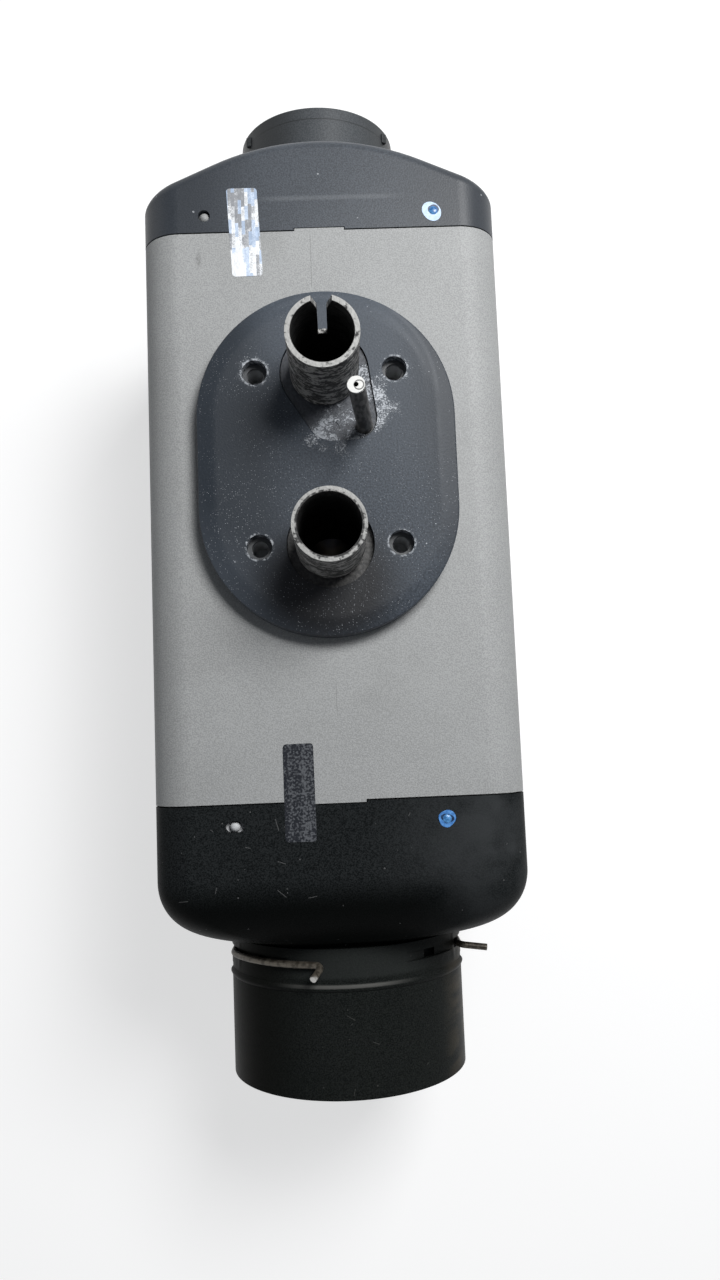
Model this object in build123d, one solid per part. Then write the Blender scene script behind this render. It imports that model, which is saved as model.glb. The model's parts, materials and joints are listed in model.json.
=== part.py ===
"""Diesel air heater: a ducted hot-air heater with its burner, blower and fan inside one long casing.

The heater lies on its flat back, as it does on a bench, with the mounting flange up.
X runs across the casing, Y along it towards the intake, Z up towards the flange.
The origin is on the back face, at the middle of the heater's length and width.
All sizes are in millimetres.
"""
from build123d import *
from math import cos, sin, tan, radians, sqrt, atan2, degrees
import os

# ---- casing ----
CASE_W = 131.0          # across the heater
CASE_H = 132.0          # back face to flange face
CASE_R = 14.5           # long edges of the casing
WALL = 2.5              # moulded shells
SLIDE = 0.3             # clearance where one moulding slides over another
SEAM = 0.5              # open line between neighbouring mouldings
JACKET_L = 205.0
LIP_L = 12.0            # inner lip of the jacket, under the hood
CAP_LIP_L = 9.0         # and under the cap
LIP_T = 1.8
LIP_ROOT = 8.0          # how far the lip is bonded inside the jacket
TAB_W = 18.0            # locating tab in the middle of each jacket end
TAB_H = 1.0
HALF_GAP = 0.2          # parting line between the two jacket halves
TONGUE_H = 4.0
TONGUE_T = 1.5
REST_Y = (-70.0, 5.0)   # ribs the fins rest on, from the bolt pattern's centre
REST_L = 18.0
REST_T = 3.0

# ---- snap nubs on the jacket lip ----
NUB_R = 1.9
NUB_SUNK = 0.4          # top of a nub below the outer face
CAP_NUB_X = 41.7
CAP_NUB_Y = 6.8         # from the jacket edge
CAP_NUB_HOLE_R = 2.2
HOOD_NUB_X = 36.4
HOOD_NUB_Y = 7.7
HOOD_NUB_HOLE_L = 6.4
HOOD_NUB_HOLE_W = 3.9

# ---- intake cap and spigot ----
CAP_RISE = 36.4         # jacket edge to the top of the arch
ARCH_R = 94.0
ARCH_ANGLE = 24.0       # slope where the arch ends, degrees
CAP_CORNER_R = 5.5
CAP_EDGE_R = 4.5
INTAKE_L = 34.45        # top of the arch to the intake rim
INTAKE_R = 32.4
INTAKE_WALL = 2.4
INTAKE_ROOT = 0.5       # the root inside the cap is this much slimmer
INTAKE_SEAT = 12.0      # top of the arch to the spigot's seat inside the cap
INTAKE_FLANGE_T = 2.5
INTAKE_FLANGE_RIM = 4.0 # flange beyond the spigot
INTAKE_LEDGE = 1.0
NOZZLE_T = 2.0
NOZZLE_GAP = 1.2        # fan tip to nozzle
NOZZLE_L = 35.0

# ---- outlet hood and spigot ----
HOOD_SIDE_L = 26.7      # straight part of the hood
SHOULDER_SHARE = 0.89   # of the hood's narrowing, done by its round shoulder
SHOULDER_ANGLE = 75.0   # turned by the shoulder before the straight slope, degrees
OUTLET_R = 45.7
OUTLET_WALL = 2.0
OUTLET_L = 52.4         # lip of the spigot to the outlet rim
NECK_SHOW = 1.5         # bare neck between the hood and the spigot's lip
NECK_L = 22.0
NECK_STEP = 0.3         # the hood's end stands proud of its neck
BEAD_Y = 13.6           # lip to the moulded bead
BEAD_H = 0.8
BEAD_W = 3.2
WINDOW_Y = 13.5         # lip to the middle of the side windows
WINDOW_L = 5.5
WINDOW_W = 18.0

# ---- wire clip that holds the outlet spigot ----
WIRE_D = 2.5
CLIP_Y = 5.2            # lip to the wire's plane
CLIP_SLOT = 3.4
CLIP_CLEAR = 0.5        # slot floor below the wire's legs
CLIP_LEG_IN = 2.4       # the two straight legs, inside the spigot's outer face
CLIP_RUN_OUT = 1.5      # where the wire runs outside the spigot
CLIP_BEND_R = 15.0
CLIP_TIP_R = 2.6
CLIP_TIP_ANGLE = 105.0  # where the long end stops
CLIP_TIP = (-3.5, -3.2, 6.5)
CLIP_LEG_TOP = 21.6
CLIP_TAIL_L = 10.5
GROOVE_D = 1.6          # groove in the hood's neck behind the wire
RELIEF_D = 2.1          # chordal slots at 45 degrees, depth from the outer face

# ---- mounting flange ----
FLANGE_Y = 118.3        # outlet end of the jacket to the bolt pattern's centre
BOLT_X = 49.0
BOLT_Y = 62.0
BOLT_HOLE_R = 3.0
BOLT_DEPTH = 14.0
FOOT_RISE = 4.0         # foot face above the jacket
FOOT_SHIFT = -0.95
FOOT_T = 8.0
FOOT_GAP = 0.8          # foot to jacket opening, each side
GASKET_W = 90.4
GASKET_L = 122.9
GASKET_RIM_W = 5.8      # sloping rim outside the foot, along the sides
GASKET_RIM_L = 5.75     # the same at the two ends
GASKET_WEB = 4.0
GASKET_DROOP = 1.1      # the rim hangs this much below the face
GASKET_BEND_R = 14.0    # soft bend over the foot's edge
GASKET_EDGE_R = 0.6
GASKET_HOLE_R = 4.4
GASKET_SEAT = 0.05
EXHAUST_HOLE_R = 15.2

# ---- pipes ----
PIPE_R = 12.0
PIPE_WALL = 1.7
PIPE_SEAT = 11.0        # depth of the seat in the foot
PIPE_SEAT_R = 11.5      # turned down to this in its seat
PIPE_FIT = 0.03
AIR_Y = 30.5            # from the bolt pattern's centre
AIR_L = 35.0            # above the gasket
AIR_SLOT_W = 3.1
AIR_SLOT_L = 26.5
AIR_MOUTH_W = 7.4
AIR_MOUTH_L = 7.0
EXHAUST_Y = -30.6
EXHAUST_L = 32.0
FUEL_X = 13.3
FUEL_Y = 10.9
FUEL_R = 2.8
FUEL_BORE_R = 0.8
FUEL_L = 36.0
FUEL_LEAN_X = -3.4
FUEL_LEAN_Y = 1.4
TEARDROP_R = 15.7       # gasket opening round the air pipe
TEARDROP_TAIL = (2.3, 15.2, 9.5)    # x, y and radius of its two lower rounds
TEARDROP_TOE = (9.8, 13.9, 8.1)
EJECTOR_X = 2.3         # mark of the die's ejector pin on the foot
EJECTOR_Y = 10.7
EJECTOR_R = 2.3
EJECTOR_D = 0.35

# ---- heat exchanger ----
CHAMBER_R = 36.0
CHAMBER_WALL = 3.5
CHAMBER_BACK = 98.0     # closed end, from the bolt pattern's centre
CHAMBER_END_R = 12.0
FRONT_Y = 44.0          # front face, from the bolt pattern's centre
FRONT_T = 8.0
FRONT_R = 38.5
EAR_X = 29.5
EAR_R = 6.0
FIN_COUNT = 36
FIN_T = 2.4
FIN_GAP_W = 5.5         # fins to the jacket's sides
FIN_GAP_H = 6.0         # fins to the jacket's back and flange side
FIN_CORNER_R = 20.0
FIN_BACK = 94.0
FIN_FRONT = 34.0
PEDESTAL_W = 66.0
PEDESTAL_L = 88.0
BOSS_R = 7.0
BOSS_L = 26.0
DUCT_R = 6.5            # combustion air passage to the blower
DUCT_RISE = 46.0
DUCT_BLOCK_W = 24.0
DUCT_BLOCK_RISE = 54.0
PAD_Y = -60.0           # flat pad for the overheat sensor
PAD_W = 18.0
PAD_L = 26.0
PAD_DROP = 40.0

# ---- burner ----
BURNER_R = 27.0
BURNER_WALL = 1.2
BURNER_FLANGE_R = 36.0
BURNER_FLANGE_T = 2.8
BURNER_SEAT_GAP = 0.3
BURNER_GASKET_T = 0.8
FLAME_R = 22.0
FLAME_BACK = 64.0
CONE_Y = -14.0
CONE_L = 14.0
AIR_HOLE_R = 1.6
AIR_HOLES = 12
BURNER_EYE_R = 8.0
FLEECE_T = 1.7
FLEECE_Y = 2.0
FLEECE_L = 18.0
PLUG_Y = 27.0
PLUG_ANGLE = 155.0
PLUG_R = 4.0
PLUG_BOSS_R = 8.0
PLUG_BOSS_TOP = 46.0
PLUG_HEX = 10.0

# ---- combustion blower ----
GASKET_T = 1.5
COVER_T = 3.0
HOUSING_T = 19.0
EAR_T = 8.0
SCREW_R = 2.45
SCREW_CLEAR = 0.25
SCREW_HEAD_R = 4.4
SCREW_HEAD_T = 4.5
SCREW_BITE = 9.0
IMPELLER_R = 28.0
IMPELLER_VANES = 24
IMPELLER_DISC_T = 2.0
IMPELLER_VANE_L = 6.0
IMPELLER_GAP = 0.8
POCKET_GAP = 1.2
CHANNEL_R = 22.0
CHANNEL_BORE = 5.2
CHANNEL_ARC = 320.0

# ---- motor ----
SHAFT_R = 3.0
BEARING_R = 8.0
BEARING_T = 5.0
RUNNING = 0.04          # shaft in its bearings
SNUG = 0.02             # pieces pressed on the shaft or in a seat
MOTOR_R = 20.5
MOTOR_WALL = 1.5
MOTOR_L = 30.0
MOTOR_FLANGE_R = 28.0
MOTOR_SCREW_X = 24.0
MOTOR_SCREW_R = 1.9
MOTOR_SCREW_BITE = 4.0
CAN_END_T = 2.0
CAN_FLANGE_T = 2.0
MAGNET_T = 4.0
MAGNET_GAP = 13.0
MAGNET_Y0 = 5.0         # from the can's flange
MAGNET_Y1 = 21.0
ARMATURE_R = 14.0
ARMATURE_Y0 = 6.0
ARMATURE_Y1 = 20.0
ARMATURE_SLOTS = 12
ARMATURE_SLOT_W = 2.0
ARMATURE_SLOT_D = 5.0
COMMUTATOR_R = 7.0

# ---- hot-air fan ----
FAN_TIP_R = 42.0
FAN_HUB_R = 24.0
FAN_HUB_WALL = 2.0
FAN_BLADES = 9
FAN_BACK = 33.0         # top of the arch to the back of the hub
FAN_L = 14.0
FAN_NOSE_R = 5.0
BLADE_T = 1.8
BLADE_ROOT = (13.5, 38.0)   # chord and twist from the shaft's direction, degrees
BLADE_TIP = (19.0, 60.0)
BLADE_CAMBER = 0.12

# ---- guard grille ----
GUARD_T = 2.5
GUARD_RINGS = (8.0, 15.0, 22.0)
GUARD_BAR = 1.8
GUARD_SPOKES = 6

# ---- control unit, sensor and cable inlet ----
UNIT_W = 96.0
UNIT_L = 40.0
UNIT_Z = 5.0
UNIT_CLEAR = 1.1        # lid to the blower above it
UNIT_CORNER_R = 4.0
SOCKET_X = 30.0
SOCKET_W = 18.0
SOCKET_D = 6.0
LID_T = 2.0
LID_GROOVES = 7
LID_GROOVE_STEP = 12.0
LID_GROOVE_W = 4.0
LID_GROOVE_D = 0.8
UNIT_Y = 66.0           # middle, from the bolt pattern's centre
RAIL_T = 4.0
RAIL_L = 17.0
SENSOR_W = 12.0
SENSOR_L = 16.0
SENSOR_H = 6.0
SPRING_T = 0.8
GROMMET_Y = 30.0        # from the jacket's intake end
GROMMET_Z = 34.0
GROMMET_L = 22.0
GROMMET_W = 12.0
GROMMET_LIP = 2.0
LEAD_R = 2.6

# ---- stations along the heater ----
NECK_R = OUTLET_R - OUTLET_WALL - SLIDE
SHOULDER = radians(SHOULDER_ANGLE)
HOOD_TAPER = CASE_W / 2 - NECK_R - NECK_STEP
SHOULDER_R = SHOULDER_SHARE * HOOD_TAPER / (1 - cos(SHOULDER))
CLIP_LEG_X = OUTLET_R - CLIP_LEG_IN
CLIP_RUN_R = OUTLET_R + CLIP_RUN_OUT
INTAKE_FLANGE_R = INTAKE_R + INTAKE_FLANGE_RIM
SLOPE_DROP = HOOD_TAPER - SHOULDER_R * (1 - cos(SHOULDER))
HOOD_END_L = SHOULDER_R * sin(SHOULDER) + SLOPE_DROP / tan(SHOULDER)
TOTAL_L = OUTLET_L + NECK_SHOW + HOOD_END_L + HOOD_SIDE_L + JACKET_L + CAP_RISE + INTAKE_L
Y_OUT = -TOTAL_L / 2
Y_LIP = Y_OUT + OUTLET_L
Y_NECK = Y_LIP + NECK_SHOW
Y_SHOULDER = Y_NECK + HOOD_END_L
Y_HOOD = Y_SHOULDER + HOOD_SIDE_L
Y_CAP = Y_HOOD + JACKET_L
Y_APEX = Y_CAP + CAP_RISE
Y_IN = Y_APEX + INTAKE_L
Y_FLANGE = Y_HOOD + FLANGE_Y
Y_FRONT = Y_FLANGE + FRONT_Y
Y_COVER = Y_FRONT + GASKET_T
Y_HOUSING = Y_COVER + COVER_T
Y_MOTOR = Y_HOUSING + HOUSING_T
Y_MOTOR_END = Y_MOTOR + MOTOR_L
Y_SEAT = Y_APEX - INTAKE_SEAT
Y_FAN = Y_APEX - FAN_BACK
AXIS_Z = CASE_H / 2
FOOT_Z = CASE_H + FOOT_RISE
GASKET_Z = FOOT_Z + GASKET_WEB
FOOT_W = GASKET_W - 2 * GASKET_RIM_W
FOOT_L = GASKET_L - 2 * GASKET_RIM_L
FIN_HALF_W = CASE_W / 2 - WALL - FIN_GAP_W
FIN_HALF_H = CASE_H / 2 - WALL - FIN_GAP_H
CHAMBER_BORE = CHAMBER_R - CHAMBER_WALL
UNIT_H = AXIS_Z - FRONT_R - UNIT_CLEAR - LID_T - UNIT_Z
SHAFT_END = Y_FAN + FAN_L - 1.0
LIP_IN = WALL + SLIDE


# ---------------------------------------------------------------- helpers
def across(y):
    """Plane square to the heater's length, centred on its axis: local x is X, local y is Z."""
    return Plane(origin=(0, y, AXIS_Z), x_dir=(1, 0, 0), z_dir=(0, -1, 0))


def along(profile, y0, y1):
    """Extrude a cross-section between two stations."""
    return extrude(across(y0) * profile, amount=y0 - y1)


def rod(radius, y0, y1, x=0.0, z=0.0):
    """Round bar along Y; x and z are measured from the heater's axis."""
    return along(Pos(x, z) * Circle(radius), y0, y1)


def tube(outer, inner, y0, y1):
    return along(Circle(outer) - Circle(inner), y0, y1)


def post(radius, z0, z1, x=0.0, y=0.0):
    """Round bar along Z; y is measured from the bolt pattern's centre."""
    return Pos(x, Y_FLANGE + y, z0) * extrude(Circle(radius), z1 - z0)


def slab(x0, x1, y0, y1, z0, z1):
    return Pos((x0 + x1) / 2, (y0 + y1) / 2, (z0 + z1) / 2) * Box(x1 - x0, y1 - y0, z1 - z0)


def section(inset):
    """Cross-section of the casing, moved in by inset."""
    corner = max(CASE_R - inset, 1.0)
    return RectangleRounded(CASE_W - 2 * inset, CASE_H - 2 * inset, corner)


def stadium(width, length, z0, z1):
    """Stadium-shaped plate of the mounting foot."""
    outline = SlotOverall(length, width, rotation=90)
    return Pos(0, Y_FLANGE + FOOT_SHIFT, z0) * extrude(outline, z1 - z0)


def bolt_places():
    return [(sx * BOLT_X / 2, sy * BOLT_Y / 2) for sx in (-1, 1) for sy in (-1, 1)]


def around(piece, count, start=0.0):
    """Copies of a piece spread evenly about the heater's axis."""
    axis = Axis((0, 0, AXIS_Z), (0, 1, 0))
    return [piece.rotate(axis, start + 360.0 * i / count) for i in range(count)]


# ---------------------------------------------------------------- jacket
def jacket_nubs(inset_z):
    """Round snap nubs on the lips, two at each end of a half; inset_z picks the flange or back face."""
    nubs = []
    for sx in (-1, 1):
        nubs.append(Pos(sx * CAP_NUB_X, Y_CAP + CAP_NUB_Y, inset_z) * Sphere(NUB_R))
        nubs.append(Pos(sx * HOOD_NUB_X, Y_HOOD - HOOD_NUB_Y, inset_z) * Sphere(NUB_R))
    return nubs


def jacket_shell():
    """Whole wrap-round jacket before it is parted: wall, end lips and locating tabs."""
    shell = along(section(0) - section(WALL), Y_HOOD, Y_CAP)
    root = section(WALL / 2) - section(LIP_IN + LIP_T)
    lip = section(LIP_IN) - section(LIP_IN + LIP_T)
    shell += along(root, Y_CAP - LIP_ROOT, Y_CAP)
    shell += along(root, Y_HOOD, Y_HOOD + LIP_ROOT)
    shell += along(lip, Y_CAP - LIP_ROOT, Y_CAP + CAP_LIP_L)
    shell += along(lip, Y_HOOD - LIP_L, Y_HOOD + LIP_ROOT)
    tab = along(section(0) - section(LIP_IN + LIP_T / 2), Y_HOOD - TAB_H, Y_CAP + TAB_H)
    return shell + (tab & slab(-TAB_W / 2, TAB_W / 2, Y_OUT, Y_IN, 0, CASE_H))


def jacket_flange_half(shell):
    half = shell & slab(-CASE_W, CASE_W, Y_OUT, Y_IN, AXIS_Z + HALF_GAP / 2, CASE_H + 1)
    half += jacket_nubs(CASE_H - NUB_SUNK - NUB_R)
    opening = stadium(FOOT_W + 2 * FOOT_GAP, FOOT_L + 2 * FOOT_GAP, CASE_H - 3 * WALL, CASE_H + 1)
    return half - opening


def jacket_back_half(shell):
    half = shell & slab(-CASE_W, CASE_W, Y_OUT, Y_IN, -1, AXIS_Z - HALF_GAP / 2)
    half += jacket_nubs(NUB_SUNK + NUB_R)
    tongue_out = WALL + HALF_GAP
    tongue_in = tongue_out + TONGUE_T
    y0, y1 = Y_HOOD + LIP_ROOT + 1, Y_CAP - LIP_ROOT - 1
    z_mid = AXIS_Z - HALF_GAP / 2
    tongue = along(section(tongue_out) - section(tongue_in), y0, y1)
    half += tongue & slab(-CASE_W, CASE_W, y0, y1, z_mid - TONGUE_H, z_mid + TONGUE_H)
    root = along(section(WALL / 2) - section(tongue_in), y0, y1)
    half += root & slab(-CASE_W, CASE_W, y0, y1, z_mid - TONGUE_H, z_mid)
    fin_floor = AXIS_Z - FIN_HALF_H - SLIDE
    for sx in (-1, 1):
        for y in REST_Y:
            x = sx * FIN_HALF_W / 2
            half += slab(x - REST_T / 2, x + REST_T / 2, Y_FLANGE + y - REST_L / 2, Y_FLANGE + y + REST_L / 2,
                         WALL / 2, fin_floor)
        x = sx * UNIT_W / 3
        unit_y = Y_FLANGE + UNIT_Y
        half += slab(x - RAIL_T / 2, x + RAIL_T / 2, unit_y - RAIL_L, unit_y + RAIL_L / 2,
                     WALL / 2, UNIT_Z - 0.1)
    inlet = Pos(-CASE_W / 2, Y_CAP - GROMMET_Y, GROMMET_Z) * Rot(0, 90, 0) * Rot(0, 0, 90)
    cut = inlet * extrude(SlotOverall(GROMMET_L, GROMMET_W), 3 * WALL, both=True)
    return half - cut


# ---------------------------------------------------------------- intake cap
def arch_profile(inset):
    """Outline of the cap seen from the flange: straight sides, sloping shoulders and a round arch."""
    w = CASE_W / 2 - inset
    y0 = Y_CAP - LIP_L
    slope = radians(ARCH_ANGLE)
    r = ARCH_R - inset
    apex = Y_APEX - inset
    c = r * sin(slope)
    yb = apex - r * (1 - cos(slope))
    yc = yb - (w - c) * tan(slope)
    outline = [
        Line((-w, y0), (-w, yc)),
        Line((-w, yc), (-c, yb)),
        ThreePointArc((-c, yb), (0, apex), (c, yb)),
        Line((c, yb), (w, yc)),
        Line((w, yc), (w, y0)),
        Line((w, y0), (-w, y0)),
    ]
    return make_face(outline)


def cap_body(inset):
    """Solid of the cap, or of the hollow inside it when inset is the wall."""
    body = extrude(arch_profile(inset), CASE_H) & along(section(inset), Y_CAP + SEAM, Y_APEX + 1)
    end = [e for e in body.edges() if min(v.Y for v in e.vertices()) > Y_CAP + SEAM + 1]
    return fillet(end, CAP_EDGE_R - inset)


def intake_cap():
    outline = arch_profile(0)
    corners = outline.vertices().filter_by_position(Axis.Y, Y_CAP + 1, Y_APEX).sort_by(Axis.X)
    outer = cap_body(0) & extrude(fillet([corners[0], corners[-1]], CAP_CORNER_R), CASE_H)
    cap = outer - cap_body(WALL)
    cap += outer & rod(INTAKE_FLANGE_R + 1.5, Y_SEAT, Y_APEX + 1)
    nozzle = FAN_TIP_R + NOZZLE_GAP
    cap += outer & tube(nozzle + NOZZLE_T, nozzle, Y_APEX - NOZZLE_L, Y_APEX - INTAKE_SEAT / 2)
    cap -= rod(INTAKE_R + SLIDE, Y_FAN, Y_APEX + 1)
    for sx in (-1, 1):
        for z in (CASE_H - WALL / 2, WALL / 2):
            hole = Pos(sx * CAP_NUB_X, Y_CAP + CAP_NUB_Y, z)
            cap -= hole * Cylinder(CAP_NUB_HOLE_R, 2 * WALL)
    notch = TAB_W / 2 + SLIDE
    cap -= slab(-notch, notch, Y_CAP, Y_CAP + TAB_H + SLIDE, -1, CASE_H + 1)
    return cap


def intake_spigot():
    inner = INTAKE_R - INTAKE_WALL
    spigot = tube(INTAKE_R, inner, Y_APEX, Y_IN)
    spigot += tube(INTAKE_R - INTAKE_ROOT, inner, Y_SEAT - INTAKE_FLANGE_T, Y_APEX)
    spigot += tube(INTAKE_FLANGE_R, inner, Y_SEAT - INTAKE_FLANGE_T, Y_SEAT)
    spigot += tube(inner + 0.5, inner - INTAKE_LEDGE, Y_SEAT, Y_SEAT + 1.5)
    rim = [e for e in spigot.edges().filter_by(GeomType.CIRCLE)
           if abs(e.center().Y - Y_IN) < 0.01 and e.radius > inner + 0.1]
    return fillet(rim, INTAKE_WALL / 3)


def intake_guard():
    """Finger guard: rings on spokes, seated against the ledge in the spigot."""
    outer = INTAKE_R - INTAKE_WALL - SNUG * 5
    y0, y1 = Y_SEAT - GUARD_T, Y_SEAT
    guard = tube(outer, outer - GUARD_BAR, y0, y1)
    for r in GUARD_RINGS:
        guard += tube(r, r - GUARD_BAR, y0, y1)
    spoke = slab(-GUARD_BAR / 2, GUARD_BAR / 2, y0, y1,
                 AXIS_Z + GUARD_RINGS[0] - GUARD_BAR, AXIS_Z + outer - GUARD_BAR / 2)
    return guard + around(spoke, GUARD_SPOKES)


# ---------------------------------------------------------------- outlet hood
def hood_shape(half, start, end_half, inset):
    """Rounded square that turns into the round neck as it narrows to end_half."""
    share = (start - half) / (start - end_half)
    tall = half + (CASE_H - CASE_W) / 2 * (1 - share)
    first = CASE_R - inset
    corner = min(first + (end_half - first) * share ** 1.5, half - 0.02)
    return RectangleRounded(2 * half, 2 * tall, corner)


def hood_end(inset):
    """Lofted end of the hood, from the casing's section to the neck."""
    end_half = NECK_R + NECK_STEP - inset
    radius = SHOULDER_R - inset
    sections = []
    steps = 6
    for i in range(steps + 1):
        turn = SHOULDER * i / steps
        half = CASE_W / 2 - SHOULDER_R + radius * cos(turn)
        y = Y_SHOULDER - radius * sin(turn)
        sections.append((y, half))
    last_y, last_half = sections[-1]
    if last_half - end_half > 0.05:
        sections.append((last_y - (last_half - end_half) / tan(SHOULDER), end_half))
    start = CASE_W / 2 - inset
    faces = [across(y) * hood_shape(half, start, end_half, inset) for y, half in sections]
    return loft(faces), sections[-1][0]


def outlet_hood():
    outer, y_outer = hood_end(0)
    inner, y_inner = hood_end(WALL)
    hood = along(section(0), Y_SHOULDER, Y_HOOD - SEAM) + outer
    hood += rod(NECK_R, Y_NECK - NECK_L, y_outer + 1)
    hollow = along(section(WALL), Y_SHOULDER, Y_HOOD) + inner
    hollow += rod(NECK_R - WALL, Y_OUT, y_inner + 1)
    hood -= hollow
    clip_y = Y_LIP - CLIP_Y
    hood -= tube(NECK_R + 1, NECK_R - GROOVE_D, clip_y - CLIP_SLOT / 2, clip_y + CLIP_SLOT / 2)
    for sx in (-1, 1):
        for z in (CASE_H - WALL / 2, WALL / 2):
            hole = extrude(SlotOverall(HOOD_NUB_HOLE_L, HOOD_NUB_HOLE_W), WALL, both=True)
            hood -= Pos(sx * HOOD_NUB_X, Y_HOOD - HOOD_NUB_Y, z) * hole
    notch = TAB_W / 2 + SLIDE
    hood -= slab(-notch, notch, Y_HOOD - TAB_H - SLIDE, Y_HOOD, -1, CASE_H + 1)
    return hood


def outlet_spigot():
    """Sleeve over the hood's neck, with a bead, side windows and slots for the wire clip."""
    inner = OUTLET_R - OUTLET_WALL
    sleeve = tube(OUTLET_R, inner, Y_OUT, Y_LIP)
    bead_y = Y_LIP - BEAD_Y
    bead = [
        Line((OUTLET_R - 0.5, -BEAD_W / 2), (OUTLET_R, -BEAD_W / 2)),
        ThreePointArc((OUTLET_R, -BEAD_W / 2), (OUTLET_R + BEAD_H, 0), (OUTLET_R, BEAD_W / 2)),
        Line((OUTLET_R, BEAD_W / 2), (OUTLET_R - 0.5, BEAD_W / 2)),
        Line((OUTLET_R - 0.5, BEAD_W / 2), (OUTLET_R - 0.5, -BEAD_W / 2)),
    ]
    ring = revolve(make_face(bead), Axis.Y, 360)
    sleeve += Pos(0, bead_y, AXIS_Z) * ring
    clip_y = Y_LIP - CLIP_Y
    half_slot = CLIP_SLOT / 2
    leg_cut = CLIP_LEG_X - WIRE_D / 2 - CLIP_CLEAR
    reach = sqrt((OUTLET_R + 1) ** 2 - leg_cut ** 2)
    relief = slab(OUTLET_R - RELIEF_D, OUTLET_R + 3, clip_y - half_slot, clip_y + half_slot,
                  AXIS_Z - OUTLET_R / 3, AXIS_Z + OUTLET_R / 3)
    for cut in around(relief, 4, 45.0):
        sleeve -= cut
    window_y = Y_LIP - WINDOW_Y
    for sx in (-1, 1):
        near, far = sorted((sx * leg_cut, sx * (OUTLET_R + 3)))
        sleeve -= slab(near, far, clip_y - half_slot, clip_y + half_slot, AXIS_Z - reach, AXIS_Z + reach)
        near, far = sorted((sx * (inner - 3), sx * (OUTLET_R + 3)))
        sleeve -= slab(near, far, window_y - WINDOW_L / 2, window_y + WINDOW_L / 2,
                       AXIS_Z - WINDOW_W / 2, AXIS_Z + WINDOW_W / 2)
    return sleeve


def clip_point(x, z):
    return Vector(x, Y_LIP - CLIP_Y, AXIS_Z + z)


def clip_arc(centre, radius, a0, a1):
    """Arc in the wire's plane from angle a0 to a1, degrees from +X towards +Z."""
    points = []
    for a in (a0, (a0 + a1) / 2, a1):
        points.append(clip_point(centre[0] + radius * cos(radians(a)), centre[1] + radius * sin(radians(a))))
    return ThreePointArc(*points)


def spigot_clip():
    """One bent wire: a short tail, two legs in the side slots, a run round the back and a long end."""
    bend_x = CLIP_LEG_X - CLIP_BEND_R
    bend_z = sqrt((CLIP_RUN_R - CLIP_BEND_R) ** 2 - bend_x ** 2)
    turn = degrees(atan2(bend_z, bend_x))
    leg_top = clip_point(CLIP_LEG_X, CLIP_LEG_TOP)
    tail = FilletPolyline(leg_top + Vector(CLIP_TAIL_L, -1.5, 0), leg_top, clip_point(CLIP_LEG_X, 0),
                          radius=CLIP_TIP_R)
    tip_at = radians(CLIP_TIP_ANGLE)
    run_end = clip_point(CLIP_RUN_R * cos(tip_at), CLIP_RUN_R * sin(tip_at))
    corner = run_end + Vector(sin(tip_at), 0, -cos(tip_at)) * (1.5 * CLIP_TIP_R)
    tip = FilletPolyline(run_end, corner, corner + Vector(*CLIP_TIP), radius=CLIP_TIP_R)
    path = Wire([
        *tail.edges(),
        Line(clip_point(CLIP_LEG_X, 0), clip_point(CLIP_LEG_X, -bend_z)),
        clip_arc((bend_x, -bend_z), CLIP_BEND_R, 0, -turn),
        clip_arc((0, 0), CLIP_RUN_R, -turn, -180 + turn),
        clip_arc((-bend_x, -bend_z), CLIP_BEND_R, -180 + turn, -180),
        Line(clip_point(-CLIP_LEG_X, -bend_z), clip_point(-CLIP_LEG_X, bend_z)),
        clip_arc((-bend_x, bend_z), CLIP_BEND_R, 180, 180 - turn),
        clip_arc((0, 0), CLIP_RUN_R, 180 - turn, CLIP_TIP_ANGLE),
        *tip.edges(),
    ])
    start = Plane(origin=path @ 0, z_dir=path % 0)
    return sweep(start * Circle(WIRE_D / 2), path=path)


# ---------------------------------------------------------------- flange and pipes
def teardrop(gap):
    """Opening round the air pipe and the fuel pipe, moved in by gap."""
    edges = []
    for x, y, r in ((0, AIR_Y, TEARDROP_R), TEARDROP_TAIL, TEARDROP_TOE):
        edges += (Pos(x, y) * Circle(r - gap)).edges()
    return make_hull(edges)


def flange_gasket():
    z0 = CASE_H + GASKET_SEAT
    rim_z = GASKET_Z - GASKET_DROOP
    gasket = stadium(GASKET_W, GASKET_L, z0, rim_z)
    rim = Pos(0, Y_FLANGE + FOOT_SHIFT, rim_z) * SlotOverall(GASKET_L, GASKET_W, rotation=90)
    bend = Pos(0, Y_FLANGE + FOOT_SHIFT, GASKET_Z) * SlotOverall(FOOT_L, FOOT_W, rotation=90)
    gasket += loft([rim, bend], ruled=True)
    gasket = fillet([e for e in gasket.edges() if abs(e.center().Z - GASKET_Z) < 0.01], GASKET_BEND_R)
    gasket = fillet([e for e in gasket.edges() if abs(e.center().Z - rim_z) < 0.01], GASKET_EDGE_R)
    gasket -= stadium(FOOT_W + FOOT_GAP, FOOT_L + FOOT_GAP, z0 - 1, FOOT_Z + GASKET_SEAT)
    for x, y in bolt_places():
        gasket -= post(GASKET_HOLE_R, FOOT_Z - 1, GASKET_Z + 1, x, y)
    gasket -= post(EXHAUST_HOLE_R, FOOT_Z - 1, GASKET_Z + 1, 0, EXHAUST_Y)
    gasket -= Pos(0, Y_FLANGE, FOOT_Z - 1) * extrude(teardrop(0), GASKET_WEB + 2)
    return gasket


def pipe(y, length):
    z0 = FOOT_Z - PIPE_SEAT + SNUG
    bar = post(PIPE_SEAT_R, z0, GASKET_Z + 1, 0, y) + post(PIPE_R, GASKET_Z, GASKET_Z + length, 0, y)
    return bar - post(PIPE_R - PIPE_WALL, z0 - 1, GASKET_Z + length + 1, 0, y)


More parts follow.
